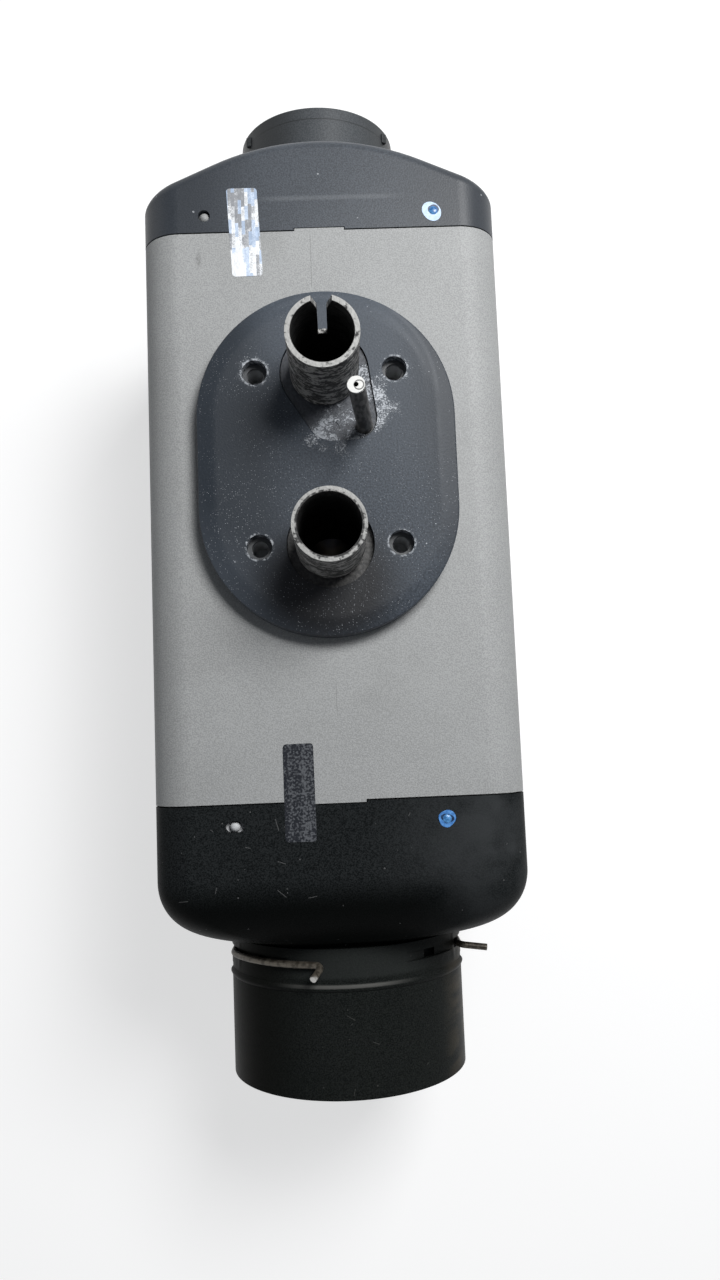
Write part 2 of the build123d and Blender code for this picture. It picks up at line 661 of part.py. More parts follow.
def combustion_air_pipe():
    """Steel stub with a key slot that opens at its end."""
    top = GASKET_Z + AIR_L
    stub = pipe(AIR_Y, AIR_L)
    half, mouth = AIR_SLOT_W / 2, AIR_MOUTH_W / 2
    outline = Polyline(
        (-half, top - AIR_SLOT_L), (half, top - AIR_SLOT_L), (half, top - AIR_MOUTH_L),
        (mouth, top + 1), (-mouth, top + 1), (-half, top - AIR_MOUTH_L), close=True)
    slot = make_face(outline)
    cut = Plane(origin=(0, Y_FLANGE + AIR_Y, 0), x_dir=(1, 0, 0), z_dir=(0, -1, 0)) * slot
    return stub - extrude(cut, amount=-2 * PIPE_R)


def fuel_pipe():
    """Thin steel pipe, bent a little where it leaves the foot."""
    z_end = AXIS_Z + sqrt((BURNER_R - BURNER_WALL) ** 2 - (FUEL_X - FUEL_R) ** 2) + 0.2
    foot = Vector(FUEL_X, Y_FLANGE + FUEL_Y, GASKET_Z + 2)
    tip = foot + Vector(FUEL_LEAN_X, FUEL_LEAN_Y, FUEL_L - 2)
    path = FilletPolyline(Vector(foot.X, foot.Y, z_end), foot, tip, radius=8 * FUEL_R)
    start = Plane(origin=path @ 0, z_dir=path % 0)
    return sweep(start * (Circle(FUEL_R) - Circle(FUEL_BORE_R)), path=path)


# ---------------------------------------------------------------- heat exchanger
def front_outline():
    """Outline shared by the exchanger's front face, the gasket, the cover and the blower."""
    outline = Circle(FRONT_R)
    for sx in (-1, 1):
        for sz in (-1, 1):
            outline += Pos(sx * EAR_X, sz * EAR_X) * Circle(EAR_R)
    outline += Pos(0, DUCT_BLOCK_RISE / 2) * Rectangle(DUCT_BLOCK_W, DUCT_BLOCK_RISE)
    return outline


def ear_places():
    return [(sx * EAR_X, sz * EAR_X) for sx in (-1, 1) for sz in (-1, 1)]


def exchanger_fins():
    """Radial fins along the chamber, trimmed to a rounded rectangle."""
    fin = slab(-FIN_T / 2, FIN_T / 2, Y_FLANGE - FIN_BACK, Y_FLANGE + FIN_FRONT,
               AXIS_Z + CHAMBER_R - 1, AXIS_Z + FIN_HALF_W + FIN_HALF_H)
    envelope = along(RectangleRounded(2 * FIN_HALF_W, 2 * FIN_HALF_H, FIN_CORNER_R),
                     Y_FLANGE - FIN_BACK, Y_FLANGE + FIN_FRONT)
    return [f & envelope for f in around(fin, FIN_COUNT, 180.0 / FIN_COUNT)]


def domed_rod(radius, y0, y1, end_r):
    """Round bar with its outlet end rounded over."""
    bar = rod(radius, y0, y1)
    return fillet([e for e in bar.edges() if abs(e.center().Y - y0) < 0.01], end_r)


def heat_exchanger():
    y_back = Y_FLANGE - CHAMBER_BACK
    body = domed_rod(CHAMBER_R, y_back, Y_FRONT, CHAMBER_END_R)
    body += exchanger_fins()
    pad_z = AXIS_Z - PAD_DROP
    pad_y = Y_FLANGE + PAD_Y
    body -= slab(-PAD_W / 2 - 2, PAD_W / 2 + 2, pad_y - PAD_L / 2 - 2, pad_y + PAD_L / 2 + 2,
                 0, AXIS_Z - CHAMBER_R + 2)
    body += slab(-PAD_W / 2, PAD_W / 2, pad_y - PAD_L / 2, pad_y + PAD_L / 2,
                 pad_z, AXIS_Z - CHAMBER_BORE)
    pedestal = stadium(PEDESTAL_W, PEDESTAL_L, AXIS_Z + CHAMBER_R / 2, FOOT_Z - FOOT_T / 2)
    body += pedestal
    body += stadium(FOOT_W, FOOT_L, FOOT_Z - FOOT_T, FOOT_Z)
    for x, y in bolt_places():
        body += post(BOSS_R, FOOT_Z - BOSS_L, FOOT_Z - 1, x, y)
    body += Pos(0, Y_FLANGE, FOOT_Z - 1) * extrude(teardrop(SLIDE), GASKET_WEB)
    body += post(EXHAUST_HOLE_R - SLIDE, FOOT_Z - 1, FOOT_Z + 1, 0, EXHAUST_Y)
    body += along(front_outline(), Y_FRONT - FRONT_T, Y_FRONT)
    duct_block = slab(-DUCT_BLOCK_W / 2, DUCT_BLOCK_W / 2, Y_FLANGE + AIR_Y, Y_FRONT,
                      AXIS_Z + CHAMBER_BORE, AXIS_Z + DUCT_BLOCK_RISE)
    body += duct_block
    plug_boss = plug_bar(PLUG_BOSS_R, CHAMBER_R - 2, PLUG_BOSS_TOP)
    body += plug_boss
    # openings and holes
    body -= domed_rod(CHAMBER_BORE, y_back + CHAMBER_WALL, Y_FRONT + 1, CHAMBER_END_R - CHAMBER_WALL)
    seat = BURNER_FLANGE_T + BURNER_GASKET_T
    body -= rod(BURNER_FLANGE_R + BURNER_SEAT_GAP, Y_FRONT - seat, Y_FRONT + 1)
    for y in (AIR_Y, EXHAUST_Y):
        body -= post(PIPE_SEAT_R + PIPE_FIT, FOOT_Z - PIPE_SEAT, GASKET_Z + 1, 0, y)
    bore = PIPE_R - PIPE_WALL
    body -= post(bore, AXIS_Z, FOOT_Z, 0, EXHAUST_Y)
    body -= post(bore, AXIS_Z + DUCT_RISE - DUCT_R - 1, FOOT_Z, 0, AIR_Y)
    body -= rod(DUCT_R, Y_FLANGE + AIR_Y, Y_FRONT + 1, 0, DUCT_RISE)
    body -= post(FUEL_R + PIPE_FIT, AXIS_Z, GASKET_Z + 1, FUEL_X, FUEL_Y)
    for x, y in bolt_places():
        body -= post(BOLT_HOLE_R, FOOT_Z - BOLT_DEPTH, FOOT_Z + 1, x, y)
    body -= post(EJECTOR_R, GASKET_Z - 1 - EJECTOR_D, GASKET_Z, EJECTOR_X, EJECTOR_Y)
    for x, z in ear_places():
        body -= rod(SCREW_R + SNUG, Y_FRONT - SCREW_BITE - 1, Y_FRONT + 1, x, z)
    body -= plug_bar(PLUG_R + SNUG, CHAMBER_BORE - 3, PLUG_BOSS_TOP + 1)
    body -= plug_bar(PLUG_HEX, PLUG_BOSS_TOP, FIN_HALF_W + FIN_HALF_H)
    return body


def plug_bar(radius, r0, r1):
    """Round bar square to the axis, where the glow plug sits; r0 and r1 are distances from the axis."""
    a = radians(PLUG_ANGLE)
    out = Vector(cos(a), 0, sin(a))
    at = Vector(0, Y_FLANGE + PLUG_Y, AXIS_Z)
    return extrude(Plane(origin=at + out * r0, z_dir=out) * Circle(radius), r1 - r0)


def glow_plug():
    a = radians(PLUG_ANGLE)
    out = Vector(cos(a), 0, sin(a))
    at = Vector(0, Y_FLANGE + PLUG_Y, AXIS_Z)
    plug = plug_bar(PLUG_R, CHAMBER_BORE + 1, PLUG_BOSS_TOP + 0.1)
    plug += plug_bar(PLUG_R / 2, BURNER_R - 7, CHAMBER_BORE + 1)
    top = Plane(origin=at + out * PLUG_BOSS_TOP, z_dir=out)
    head = top * RegularPolygon(PLUG_HEX / 2, 6, major_radius=False)
    plug += extrude(head, 4.5)
    plug += plug_bar(PLUG_R / 2, PLUG_BOSS_TOP + 4, PLUG_BOSS_TOP + 9)
    return plug


# ---------------------------------------------------------------- burner
def burner_tube():
    """Sheet-steel burner: flange, perforated mixing section, cone and flame tube."""
    flange_y = Y_FRONT - BURNER_FLANGE_T
    cone_front = Y_FLANGE + CONE_Y
    cone_back = cone_front - CONE_L
    back = Y_FLANGE - FLAME_BACK
    t = BURNER_WALL
    outline = Polyline(
        (BURNER_EYE_R, Y_FRONT), (BURNER_FLANGE_R, Y_FRONT), (BURNER_FLANGE_R, flange_y),
        (BURNER_R, flange_y), (BURNER_R, cone_front), (FLAME_R, cone_back), (FLAME_R, back),
        (FLAME_R - t, back), (FLAME_R - t, cone_back), (BURNER_R - t, cone_front),
        (BURNER_R - t, Y_FRONT - t), (BURNER_EYE_R, Y_FRONT - t), close=True)
    shell = Pos(0, 0, AXIS_Z) * revolve(make_face(outline), Axis.Y, 360)
    hole = Pos(0, 0, AXIS_Z + BURNER_R) * Cylinder(AIR_HOLE_R, 4 * t)
    for row in (-2.0, -9.0):
        for cut in around(Pos(0, Y_FLANGE + row, 0) * hole, AIR_HOLES):
            shell -= cut
    shell -= post(FUEL_R + PIPE_FIT, AXIS_Z, AXIS_Z + BURNER_R + 1, FUEL_X, FUEL_Y)
    return shell - plug_bar(PLUG_R / 2 + 1, 5, BURNER_R + 2)


def burner_gasket():
    seat = Y_FRONT - BURNER_FLANGE_T
    return tube(BURNER_FLANGE_R, CHAMBER_BORE, seat - BURNER_GASKET_T + SNUG, seat - SNUG)


def evaporator_fleece():
    outer = BURNER_R - BURNER_WALL - SNUG
    y0 = Y_FLANGE + FLEECE_Y
    return tube(outer, outer - FLEECE_T, y0, y0 + FLEECE_L)


# ---------------------------------------------------------------- combustion blower
def blower_plate(y0, y1, hole):
    plate = along(front_outline(), y0, y1)
    for x, z in ear_places():
        plate -= rod(hole, y0 - 1, y1 + 1, x, z)
    return plate - rod(DUCT_R, y0 - 1, y1 + 1, 0, DUCT_RISE)


def blower_gasket():
    gasket = blower_plate(Y_FRONT + SNUG, Y_COVER - SNUG, SCREW_R + SCREW_CLEAR)
    return gasket - rod(BURNER_EYE_R + 2, Y_FRONT, Y_COVER)


def blower_cover():
    """Plate between the impeller and the burner, with the port that feeds the burner."""
    cover = blower_plate(Y_COVER, Y_HOUSING - SNUG, SCREW_R + SCREW_CLEAR)
    port = Pos(-CHANNEL_R * 0.35, 0) * SlotOverall(CHANNEL_R, 2 * DUCT_R * 0.7)
    return cover - along(port, Y_COVER - 1, Y_HOUSING + 1)


def blower_housing():
    """Die-cast side-channel housing with the impeller pocket and the rear bearing seat."""
    y1 = Y_MOTOR
    pocket_end = Y_HOUSING + IMPELLER_GAP + IMPELLER_DISC_T + IMPELLER_VANE_L + IMPELLER_GAP
    body = along(front_outline(), Y_HOUSING, Y_HOUSING + EAR_T)
    body += rod(IMPELLER_R + POCKET_GAP + 3, Y_HOUSING, y1)
    duct_top = DUCT_RISE + DUCT_R + 2.5
    body += slab(-DUCT_BLOCK_W / 2, DUCT_BLOCK_W / 2, Y_HOUSING, Y_HOUSING + EAR_T + 6,
                 AXIS_Z + CHANNEL_R, AXIS_Z + duct_top)
    for x, z in ear_places():
        body -= rod(SCREW_R + SCREW_CLEAR, Y_HOUSING - 1, Y_HOUSING + EAR_T + 1, x, z)
        body -= rod(SCREW_HEAD_R + SCREW_CLEAR, Y_HOUSING + EAR_T, y1 + 1, x, z)
    body -= rod(IMPELLER_R + POCKET_GAP, Y_HOUSING - 1, pocket_end)
    channel = revolve(Pos(CHANNEL_R, 0) * Circle(CHANNEL_BORE), Axis.Y, CHANNEL_ARC)
    body -= Pos(0, pocket_end, AXIS_Z) * channel.rotate(Axis.Y, -(90 - (360 - CHANNEL_ARC) / 2))
    body -= rod(DUCT_R, Y_HOUSING - 1, Y_HOUSING + EAR_T, 0, DUCT_RISE)
    body -= slab(-DUCT_R, DUCT_R, Y_HOUSING - 1, Y_HOUSING + EAR_T,
                 AXIS_Z + CHANNEL_R, AXIS_Z + DUCT_RISE)
    body -= rod(SHAFT_R + 2, Y_HOUSING, y1 + 1)
    body -= rod(BEARING_R + SNUG, y1 - BEARING_T - SNUG, y1 + 1)
    for sx in (-1, 1):
        body -= rod(MOTOR_SCREW_R + SNUG, y1 - MOTOR_SCREW_BITE - 0.2, y1 + 1, sx * MOTOR_SCREW_X)
    return body


def blower_screws():
    """Four socket-head screws that clamp the blower to the exchanger."""
    screws = []
    for x, z in ear_places():
        seat = Y_HOUSING + EAR_T
        screw = rod(SCREW_R, Y_FRONT - SCREW_BITE, seat + 0.1, x, z)
        screw += rod(SCREW_HEAD_R, seat + SNUG, seat + SCREW_HEAD_T, x, z)
        socket = along(Pos(x, z) * RegularPolygon(2.0, 6), seat + SCREW_HEAD_T - 2.5, seat + SCREW_HEAD_T + 1)
        screws.append(screw - socket)
    return Compound(children=[Solid(s.solids()[0].wrapped) for s in screws])


def combustion_impeller():
    y0 = Y_HOUSING + IMPELLER_GAP
    y1 = y0 + IMPELLER_DISC_T
    wheel = rod(IMPELLER_R, y0, y1)
    wheel += rod(2.5 * SHAFT_R, y0, y1 + IMPELLER_VANE_L)
    vane = slab(-0.6, 0.6, y1 - 0.5, y1 + IMPELLER_VANE_L,
                AXIS_Z + CHANNEL_R - CHANNEL_BORE, AXIS_Z + IMPELLER_R)
    wheel += around(vane, IMPELLER_VANES)
    return wheel - rod(SHAFT_R + SNUG, y0 - 1, y1 + IMPELLER_VANE_L + 1)


# ---------------------------------------------------------------- motor
def motor_can():
    """Deep-drawn can: flange on the blower, front bearing in its end."""
    inner = MOTOR_R - MOTOR_WALL
    can = rod(MOTOR_R, Y_MOTOR, Y_MOTOR_END)
    can += along(SlotOverall(2 * MOTOR_FLANGE_R, MOTOR_R), Y_MOTOR, Y_MOTOR + CAN_FLANGE_T)
    edge = [e for e in can.edges() if abs(e.center().Y - Y_MOTOR_END) < 0.01]
    can = fillet(edge, 2 * MOTOR_WALL)
    can -= rod(inner, Y_MOTOR - 1, Y_MOTOR_END - CAN_END_T)
    seat0 = Y_MOTOR_END - CAN_END_T - BEARING_T
    can += tube(BEARING_R + CAN_END_T, BEARING_R + SNUG, seat0, Y_MOTOR_END - 0.75 * CAN_END_T)
    can -= rod(SHAFT_R + 1, Y_MOTOR, Y_MOTOR_END + 1)
    for sx in (-1, 1):
        can -= rod(MOTOR_SCREW_R + SCREW_CLEAR, Y_MOTOR - 1, Y_MOTOR + CAN_FLANGE_T + 1, sx * MOTOR_SCREW_X)
    return can


def motor_bearings():
    """Two like bearings: one in the blower housing, one in the can."""
    bearings = []
    for y0 in (Y_MOTOR - BEARING_T, Y_MOTOR_END - CAN_END_T - BEARING_T):
        bearings.append(tube(BEARING_R, SHAFT_R + RUNNING, y0, y0 + BEARING_T - SNUG))
    return Compound(children=[Solid(b.solids()[0].wrapped) for b in bearings])


def motor_magnets():
    """Two arc magnets, bonded inside the can on either side of the armature."""
    outer = MOTOR_R - MOTOR_WALL - SNUG
    ring = Circle(outer) - Circle(outer - MAGNET_T) - Rectangle(MAGNET_GAP, 2 * MOTOR_R)
    arcs = along(ring, Y_MOTOR + MAGNET_Y0, Y_MOTOR + MAGNET_Y1)
    return Compound(children=[Solid(m.wrapped) for m in arcs.solids()])


def motor_armature():
    y0, y1 = Y_MOTOR + ARMATURE_Y0, Y_MOTOR + ARMATURE_Y1
    core = rod(ARMATURE_R, y0, y1)
    slot = slab(-ARMATURE_SLOT_W / 2, ARMATURE_SLOT_W / 2, y0 - 1, y1 + 1,
                AXIS_Z + ARMATURE_R - ARMATURE_SLOT_D, AXIS_Z + ARMATURE_R + 1)
    for cut in around(slot, ARMATURE_SLOTS):
        core -= cut
    core += rod(COMMUTATOR_R, Y_MOTOR + 1, y0)
    return core - rod(SHAFT_R + SNUG, Y_MOTOR, y1 + 1)


def motor_shaft():
    shaft = rod(SHAFT_R, Y_HOUSING + IMPELLER_GAP / 2, SHAFT_END)
    return chamfer(shaft.edges().filter_by(GeomType.CIRCLE), 0.4)


def motor_screws():
    screws = []
    for sx in (-1, 1):
        x = sx * MOTOR_SCREW_X
        seat = Y_MOTOR + CAN_FLANGE_T
        screw = rod(MOTOR_SCREW_R, Y_MOTOR - MOTOR_SCREW_BITE, seat + 0.1, x)
        screw += rod(1.8 * MOTOR_SCREW_R, seat + SNUG, seat + 1.3 * MOTOR_SCREW_R, x)
        screws.append(screw)
    return Compound(children=[Solid(s.solids()[0].wrapped) for s in screws])


# ---------------------------------------------------------------- hot-air fan
def blade_section(radius, chord, twist):
    """Thin cambered section on a plane square to the blade's radius."""
    mid_y = Y_FAN + FAN_L / 2
    a = radians(twist)
    place = Plane(origin=(0, mid_y, AXIS_Z + radius), x_dir=(sin(a), cos(a), 0), z_dir=(0, 0, 1))
    rise = BLADE_CAMBER * chord
    h = chord / 2
    edge = 0.35
    outline = [
        ThreePointArc((-h, edge), (0, rise + BLADE_T / 2), (h, edge)),
        Line((h, edge), (h, -edge)),
        ThreePointArc((h, -edge), (0, rise - BLADE_T / 2), (-h, -edge)),
        Line((-h, -edge), (-h, edge)),
    ]
    return place * make_face(outline)


def fan_blade():
    """Blade lofted from a short, steep root to a long, flat tip, and trimmed to the tip circle."""
    root_r = FAN_HUB_R - FAN_HUB_WALL / 2
    sections = []
    for share in (0.0, 0.5, 1.0):
        radius = root_r + (FAN_TIP_R + 1 - root_r) * share
        chord = BLADE_ROOT[0] + (BLADE_TIP[0] - BLADE_ROOT[0]) * share
        twist = BLADE_ROOT[1] + (BLADE_TIP[1] - BLADE_ROOT[1]) * share
        sections.append(blade_section(radius, chord, twist))
    return loft(sections)


def hot_air_fan():
    """Axial fan wheel: a cup-shaped hub that runs over the motor, and twisted blades."""
    y1 = Y_FAN + FAN_L
    fan = rod(FAN_HUB_R, Y_FAN, y1)
    fan = fillet([e for e in fan.edges() if abs(e.center().Y - y1) < 0.01], FAN_NOSE_R)
    fan -= rod(FAN_HUB_R - FAN_HUB_WALL, Y_FAN - 1, y1 - 1.5 * FAN_HUB_WALL)
    boss_y = Y_MOTOR_END + 1.0
    fan += rod(2 * SHAFT_R, boss_y, y1 - 1)
    blades = around(fan_blade(), FAN_BLADES)
    trim = tube(FAN_TIP_R, FAN_HUB_R - FAN_HUB_WALL / 2, Y_FAN - 5, y1 + 5)
    for blade in blades:
        fan += blade & trim
    return fan - rod(SHAFT_R + SNUG, boss_y - 1, SHAFT_END + SNUG)


# ---------------------------------------------------------------- electrics
def control_unit_case():
    y = Y_FLANGE + UNIT_Y
    front = y - UNIT_L / 2
    case = Pos(0, y, UNIT_Z) * extrude(RectangleRounded(UNIT_W, UNIT_L, UNIT_CORNER_R), UNIT_H)
    z0, z1 = UNIT_Z + 0.3 * UNIT_H, UNIT_Z + 0.7 * UNIT_H
    z_mid = (z0 + z1) / 2
    for x in (-SOCKET_X, SOCKET_X):
        x0, x1 = x - SOCKET_W / 3, x + SOCKET_W / 3
        case -= slab(x - SOCKET_W / 2, x + SOCKET_W / 2, front - 1, front + SOCKET_D, z0, z1)
        case += slab(x0, x1, front + 1, front + SOCKET_D + 1, z_mid - 1, z_mid + 1)
    return case


def control_unit_lid():
    y = Y_FLANGE + UNIT_Y
    z0 = UNIT_Z + UNIT_H + SNUG
    lid = Pos(0, y, z0) * extrude(RectangleRounded(UNIT_W, UNIT_L, UNIT_CORNER_R), LID_T)
    reach = UNIT_L / 2 - UNIT_CORNER_R - 1
    for i in range(LID_GROOVES):
        x = (i - (LID_GROOVES - 1) / 2) * LID_GROOVE_STEP
        lid -= slab(x - LID_GROOVE_W / 2, x + LID_GROOVE_W / 2, y - reach, y + reach,
                    z0 + LID_T - LID_GROOVE_D, z0 + LID_T + 1)
    return lid


def overheat_sensor():
    y = Y_FLANGE + PAD_Y
    z1 = AXIS_Z - PAD_DROP - SNUG
    body = slab(-SENSOR_W / 2, SENSOR_W / 2, y - SENSOR_L / 2, y + SENSOR_L / 2, z1 - SENSOR_H, z1)
    long_edges = body.edges().filter_by(Axis.Y).group_by(Axis.Z)[0]
    return fillet(long_edges, 2.0)


def sensor_clip():
    """Spring strip that hugs the pad and presses the sensor against it."""
    y = Y_FLANGE + PAD_Y
    bottom = AXIS_Z - PAD_DROP - SENSOR_H - 2 * SNUG
    side = PAD_W / 2 + SLIDE / 2
    top = AXIS_Z - CHAMBER_R
    strip = slab(-side - SPRING_T, side + SPRING_T, y - 4, y + 4, bottom - SPRING_T, top - 1)
    return strip - slab(-side, side, y - 5, y + 5, bottom, top)


def cable_grommet():
    """Rubber inlet for the leads, flush with the casing's side."""
    place = Pos(-CASE_W / 2 + 0.2, Y_CAP - GROMMET_Y, GROMMET_Z) * Rot(0, 90, 0) * Rot(0, 0, 90)
    plug = place * extrude(SlotOverall(GROMMET_L - 0.3, GROMMET_W - 0.3), WALL + 2.5)
    inside = Pos(WALL - 0.15, 0, 0) * place
    plug += inside * extrude(SlotOverall(GROMMET_L + 2 * GROMMET_LIP, GROMMET_W + 2 * GROMMET_LIP), 2.3)
    for i in (-1, 0, 1):
        plug -= place * Pos(i * 6.4, 0, 0) * extrude(Circle(LEAD_R), 8, both=True)
    return plug


def build():
    shell = jacket_shell()
    return {
        "jacket_flange_half": jacket_flange_half(shell),
        "jacket_back_half": jacket_back_half(shell),
        "intake_cap": intake_cap(),
        "intake_spigot": intake_spigot(),
        "intake_guard": intake_guard(),
        "outlet_hood": outlet_hood(),
        "outlet_spigot": outlet_spigot(),
        "spigot_clip": spigot_clip(),
        "flange_gasket": flange_gasket(),
        "heat_exchanger": heat_exchanger(),
        "exhaust_pipe": pipe(EXHAUST_Y, EXHAUST_L),
        "combustion_air_pipe": combustion_air_pipe(),
        "fuel_pipe": fuel_pipe(),
        "glow_plug": glow_plug(),
        "burner_tube": burner_tube(),
        "burner_gasket": burner_gasket(),
        "evaporator_fleece": evaporator_fleece(),
        "blower_gasket": blower_gasket(),
        "blower_cover": blower_cover(),
        "blower_housing": blower_housing(),
        "blower_screws": blower_screws(),
        "combustion_impeller": combustion_impeller(),
        "motor_can": motor_can(),
        "motor_bearings": motor_bearings(),
        "motor_magnets": motor_magnets(),
        "motor_armature": motor_armature(),
        "motor_shaft": motor_shaft(),
        "motor_screws": motor_screws(),
        "hot_air_fan": hot_air_fan(),
        "control_unit_case": control_unit_case(),
        "control_unit_lid": control_unit_lid(),
        "overheat_sensor": overheat_sensor(),
        "sensor_clip": sensor_clip(),
        "cable_grommet": cable_grommet(),
    }


os.makedirs("parts", exist_ok=True)
for name, piece in build().items():
    export_step(piece, f"parts/{name}.step")
    print(name, round(piece.volume), len(piece.solids()))
print("length", round(TOTAL_L, 2))
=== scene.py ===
import json
import math
import random

import bmesh
import bpy
from mathutils import Matrix, Quaternion, Vector

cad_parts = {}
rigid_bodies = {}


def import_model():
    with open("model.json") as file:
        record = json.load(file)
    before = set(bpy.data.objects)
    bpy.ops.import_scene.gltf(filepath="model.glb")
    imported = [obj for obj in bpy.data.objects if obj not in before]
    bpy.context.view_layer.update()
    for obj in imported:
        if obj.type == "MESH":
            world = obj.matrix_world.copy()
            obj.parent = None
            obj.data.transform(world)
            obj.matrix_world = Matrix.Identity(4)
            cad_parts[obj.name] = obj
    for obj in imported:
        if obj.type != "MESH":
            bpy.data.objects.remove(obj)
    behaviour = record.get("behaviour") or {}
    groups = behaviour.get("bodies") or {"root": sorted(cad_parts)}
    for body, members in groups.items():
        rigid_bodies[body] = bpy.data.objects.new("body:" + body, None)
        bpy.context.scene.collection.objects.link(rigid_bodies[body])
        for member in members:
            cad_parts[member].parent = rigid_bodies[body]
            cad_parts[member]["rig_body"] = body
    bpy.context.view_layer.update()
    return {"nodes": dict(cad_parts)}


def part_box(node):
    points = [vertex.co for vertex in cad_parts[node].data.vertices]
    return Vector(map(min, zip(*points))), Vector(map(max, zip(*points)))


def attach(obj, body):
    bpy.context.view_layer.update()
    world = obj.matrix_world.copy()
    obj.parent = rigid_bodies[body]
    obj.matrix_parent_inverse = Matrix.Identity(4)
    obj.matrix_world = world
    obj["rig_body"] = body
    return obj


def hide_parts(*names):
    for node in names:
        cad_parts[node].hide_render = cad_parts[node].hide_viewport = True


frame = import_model()

# ---------------------------------------------------------------- heat exchanger
# The cast-aluminium core: finned chamber, mounting foot and front flange in one die casting.
# Only the foot shows, through the gasket's openings, where road salt has left a white crust.


def feed(tree, socket, value):
    """Gives an input a plain value, or links another node's output to it."""
    if isinstance(value, bpy.types.NodeSocket):
        tree.links.new(value, socket)
    else:
        socket.default_value = value


def node(tree, kind, feeds=None, **settings):
    """Adds a shader node, with its inputs fed and its settings made."""
    made = tree.nodes.new("ShaderNode" + kind)
    for key, value in settings.items():
        setattr(made, key, value)
    for key, value in (feeds or {}).items():
        feed(tree, made.inputs[key], value)
    return made


def maths(tree, operation, first, *others, clamp=False):
    """One operation over any number of values, from the left."""
    total = first
    for other in others or (0.0,):
        feeds = {0: total, 1: other}
        total = node(tree, "Math", feeds, operation=operation, use_clamp=clamp).outputs[0]
    return total


def times(tree, *values):
    return maths(tree, "MULTIPLY", *values)


def plus(tree, *values):
    return maths(tree, "ADD", *values)


def minus(tree, *values):
    return maths(tree, "SUBTRACT", *values)


def most(tree, *values):
    return maths(tree, "MAXIMUM", *values)


def size_of(tree, value):
    """The value without its sign."""
    return maths(tree, "ABSOLUTE", value)


def ramp(tree, value, low, high):
    """0 at low, 1 at high, smooth between."""
    feeds = {"Value": value, "From Min": low, "From Max": high}
    return node(tree, "MapRange", feeds, interpolation_type="SMOOTHSTEP").outputs[0]


def fade(tree, value, low, high):
    """1 at low, 0 at high, smooth between."""
    return minus(tree, 1.0, ramp(tree, value, low, high))


def blend(tree, share, a, b):
    """Colour a where share is 0, colour b where it is 1."""
    a, b = ((*tone, 1) if isinstance(tone, tuple) else tone for tone in (a, b))
    return node(tree, "Mix", {"Factor": share, 6: a, 7: b}, data_type="RGBA").outputs[2]


def noise(tree, spot, per_metre, detail=2.0, roughness=0.5):
    """Fractal noise, about 0.5 on average."""
    feeds = {"Vector": spot, "Scale": per_metre, "Detail": detail, "Roughness": roughness}
    return node(tree, "TexNoise", feeds).outputs[0]


def vector(tree, operation, feeds, output=0):
    """One operation on vectors."""
    return node(tree, "VectorMath", feeds, operation=operation).outputs[output]


def apart(tree, spot, point):
    """Distance from a point."""
    return vector(tree, "DISTANCE", {0: spot, 1: point}, "Value")


def from_axis(tree, spot, axis_x, axis_y):
    """Distance from an upright axis."""
    level = vector(tree, "MULTIPLY", {0: spot, 1: (1.0, 1.0, 0.0)})
    return apart(tree, level, (axis_x, axis_y, 0.0))


def slant(tree, across, along):
    """Length of the line that goes so far across and so far along."""
    flat = node(tree, "CombineXYZ", {0: across, 1: along}).outputs[0]
    return vector(tree, "LENGTH", {0: flat}, "Value")


def paint(name, colour, roughness, metallic=0.0, gloss=0.5):
    """A plain finish; gives the material, its node tree and its shader."""
    material = bpy.data.materials.new(name)
    material.use_nodes = True
    tree = material.node_tree
    shader = tree.nodes["Principled BSDF"]
    shader.inputs["Base Color"].default_value = (*colour, 1)
    shader.inputs["Roughness"].default_value = roughness
    shader.inputs["Metallic"].default_value = metallic
    shader.inputs["Specular IOR Level"].default_value = gloss
    return material, tree, shader


def dress(tree, shader, tone, height=None, depth=0.0):
    """Feeds a shader its colour, and a height that stands out by depth, in metres."""
    feed(tree, shader.inputs["Base Color"], tone)
    if height is not None:
        made = node(tree, "Bump", {"Height": height, "Strength": 1.0, "Distance": depth})
        feed(tree, shader.inputs["Normal"], made.outputs[0])


def place(tree):
    """Object coordinates and their three parts, in metres in the heater's own frame."""
    spot = node(tree, "TexCoord").outputs["Object"]
    parts = node(tree, "SeparateXYZ", {0: spot}).outputs
    return spot, parts[0], parts[1], parts[2]


def effect(name, takes, gives):
    """An empty effect group with named inputs and outputs."""
    group = bpy.data.node_groups.new(name, "ShaderNodeTree")
    for label, value in takes.items():
        socket = group.interface.new_socket(label, in_out="INPUT", socket_type="NodeSocketFloat")
        socket.default_value = value
    for label in gives:
        group.interface.new_socket(label, in_out="OUTPUT", socket_type="NodeSocketFloat")
    entry, end = group.nodes.new("NodeGroupInput"), group.nodes.new("NodeGroupOutput")
    return group, entry.outputs, end.inputs


def use(tree, group, **feeds):
    """Places an effect in a material with its own values."""
    made = tree.nodes.new("ShaderNodeGroup")
    made.node_tree = group
    for key, value in feeds.items():
        feed(tree, made.inputs[key.replace("_", " ").capitalize()], value)
    return made.outputs


def grain_effect():
    """Fine grain of a casting or a moulding: its height and a faint change of tone."""
    fine_share, broad_share = 0.86, 0.14
    group, takes, gives = effect("surface grain", {"Per metre": 2000.0}, ["Height", "Tone"])
    spot = node(group, "TexCoord").outputs["Object"]
    fine = noise(group, spot, per_metre=takes["Per metre"])
    broad = noise(group, spot, per_metre=38.0, detail=3.0)
    tone = plus(group, times(group, fine, fine_share), times(group, broad, broad_share))
    feed(group, gives["Height"], fine)
    feed(group, gives["Tone"], ramp(group, tone, 0.36, 0.64))
    return group


grain = grain_effect()


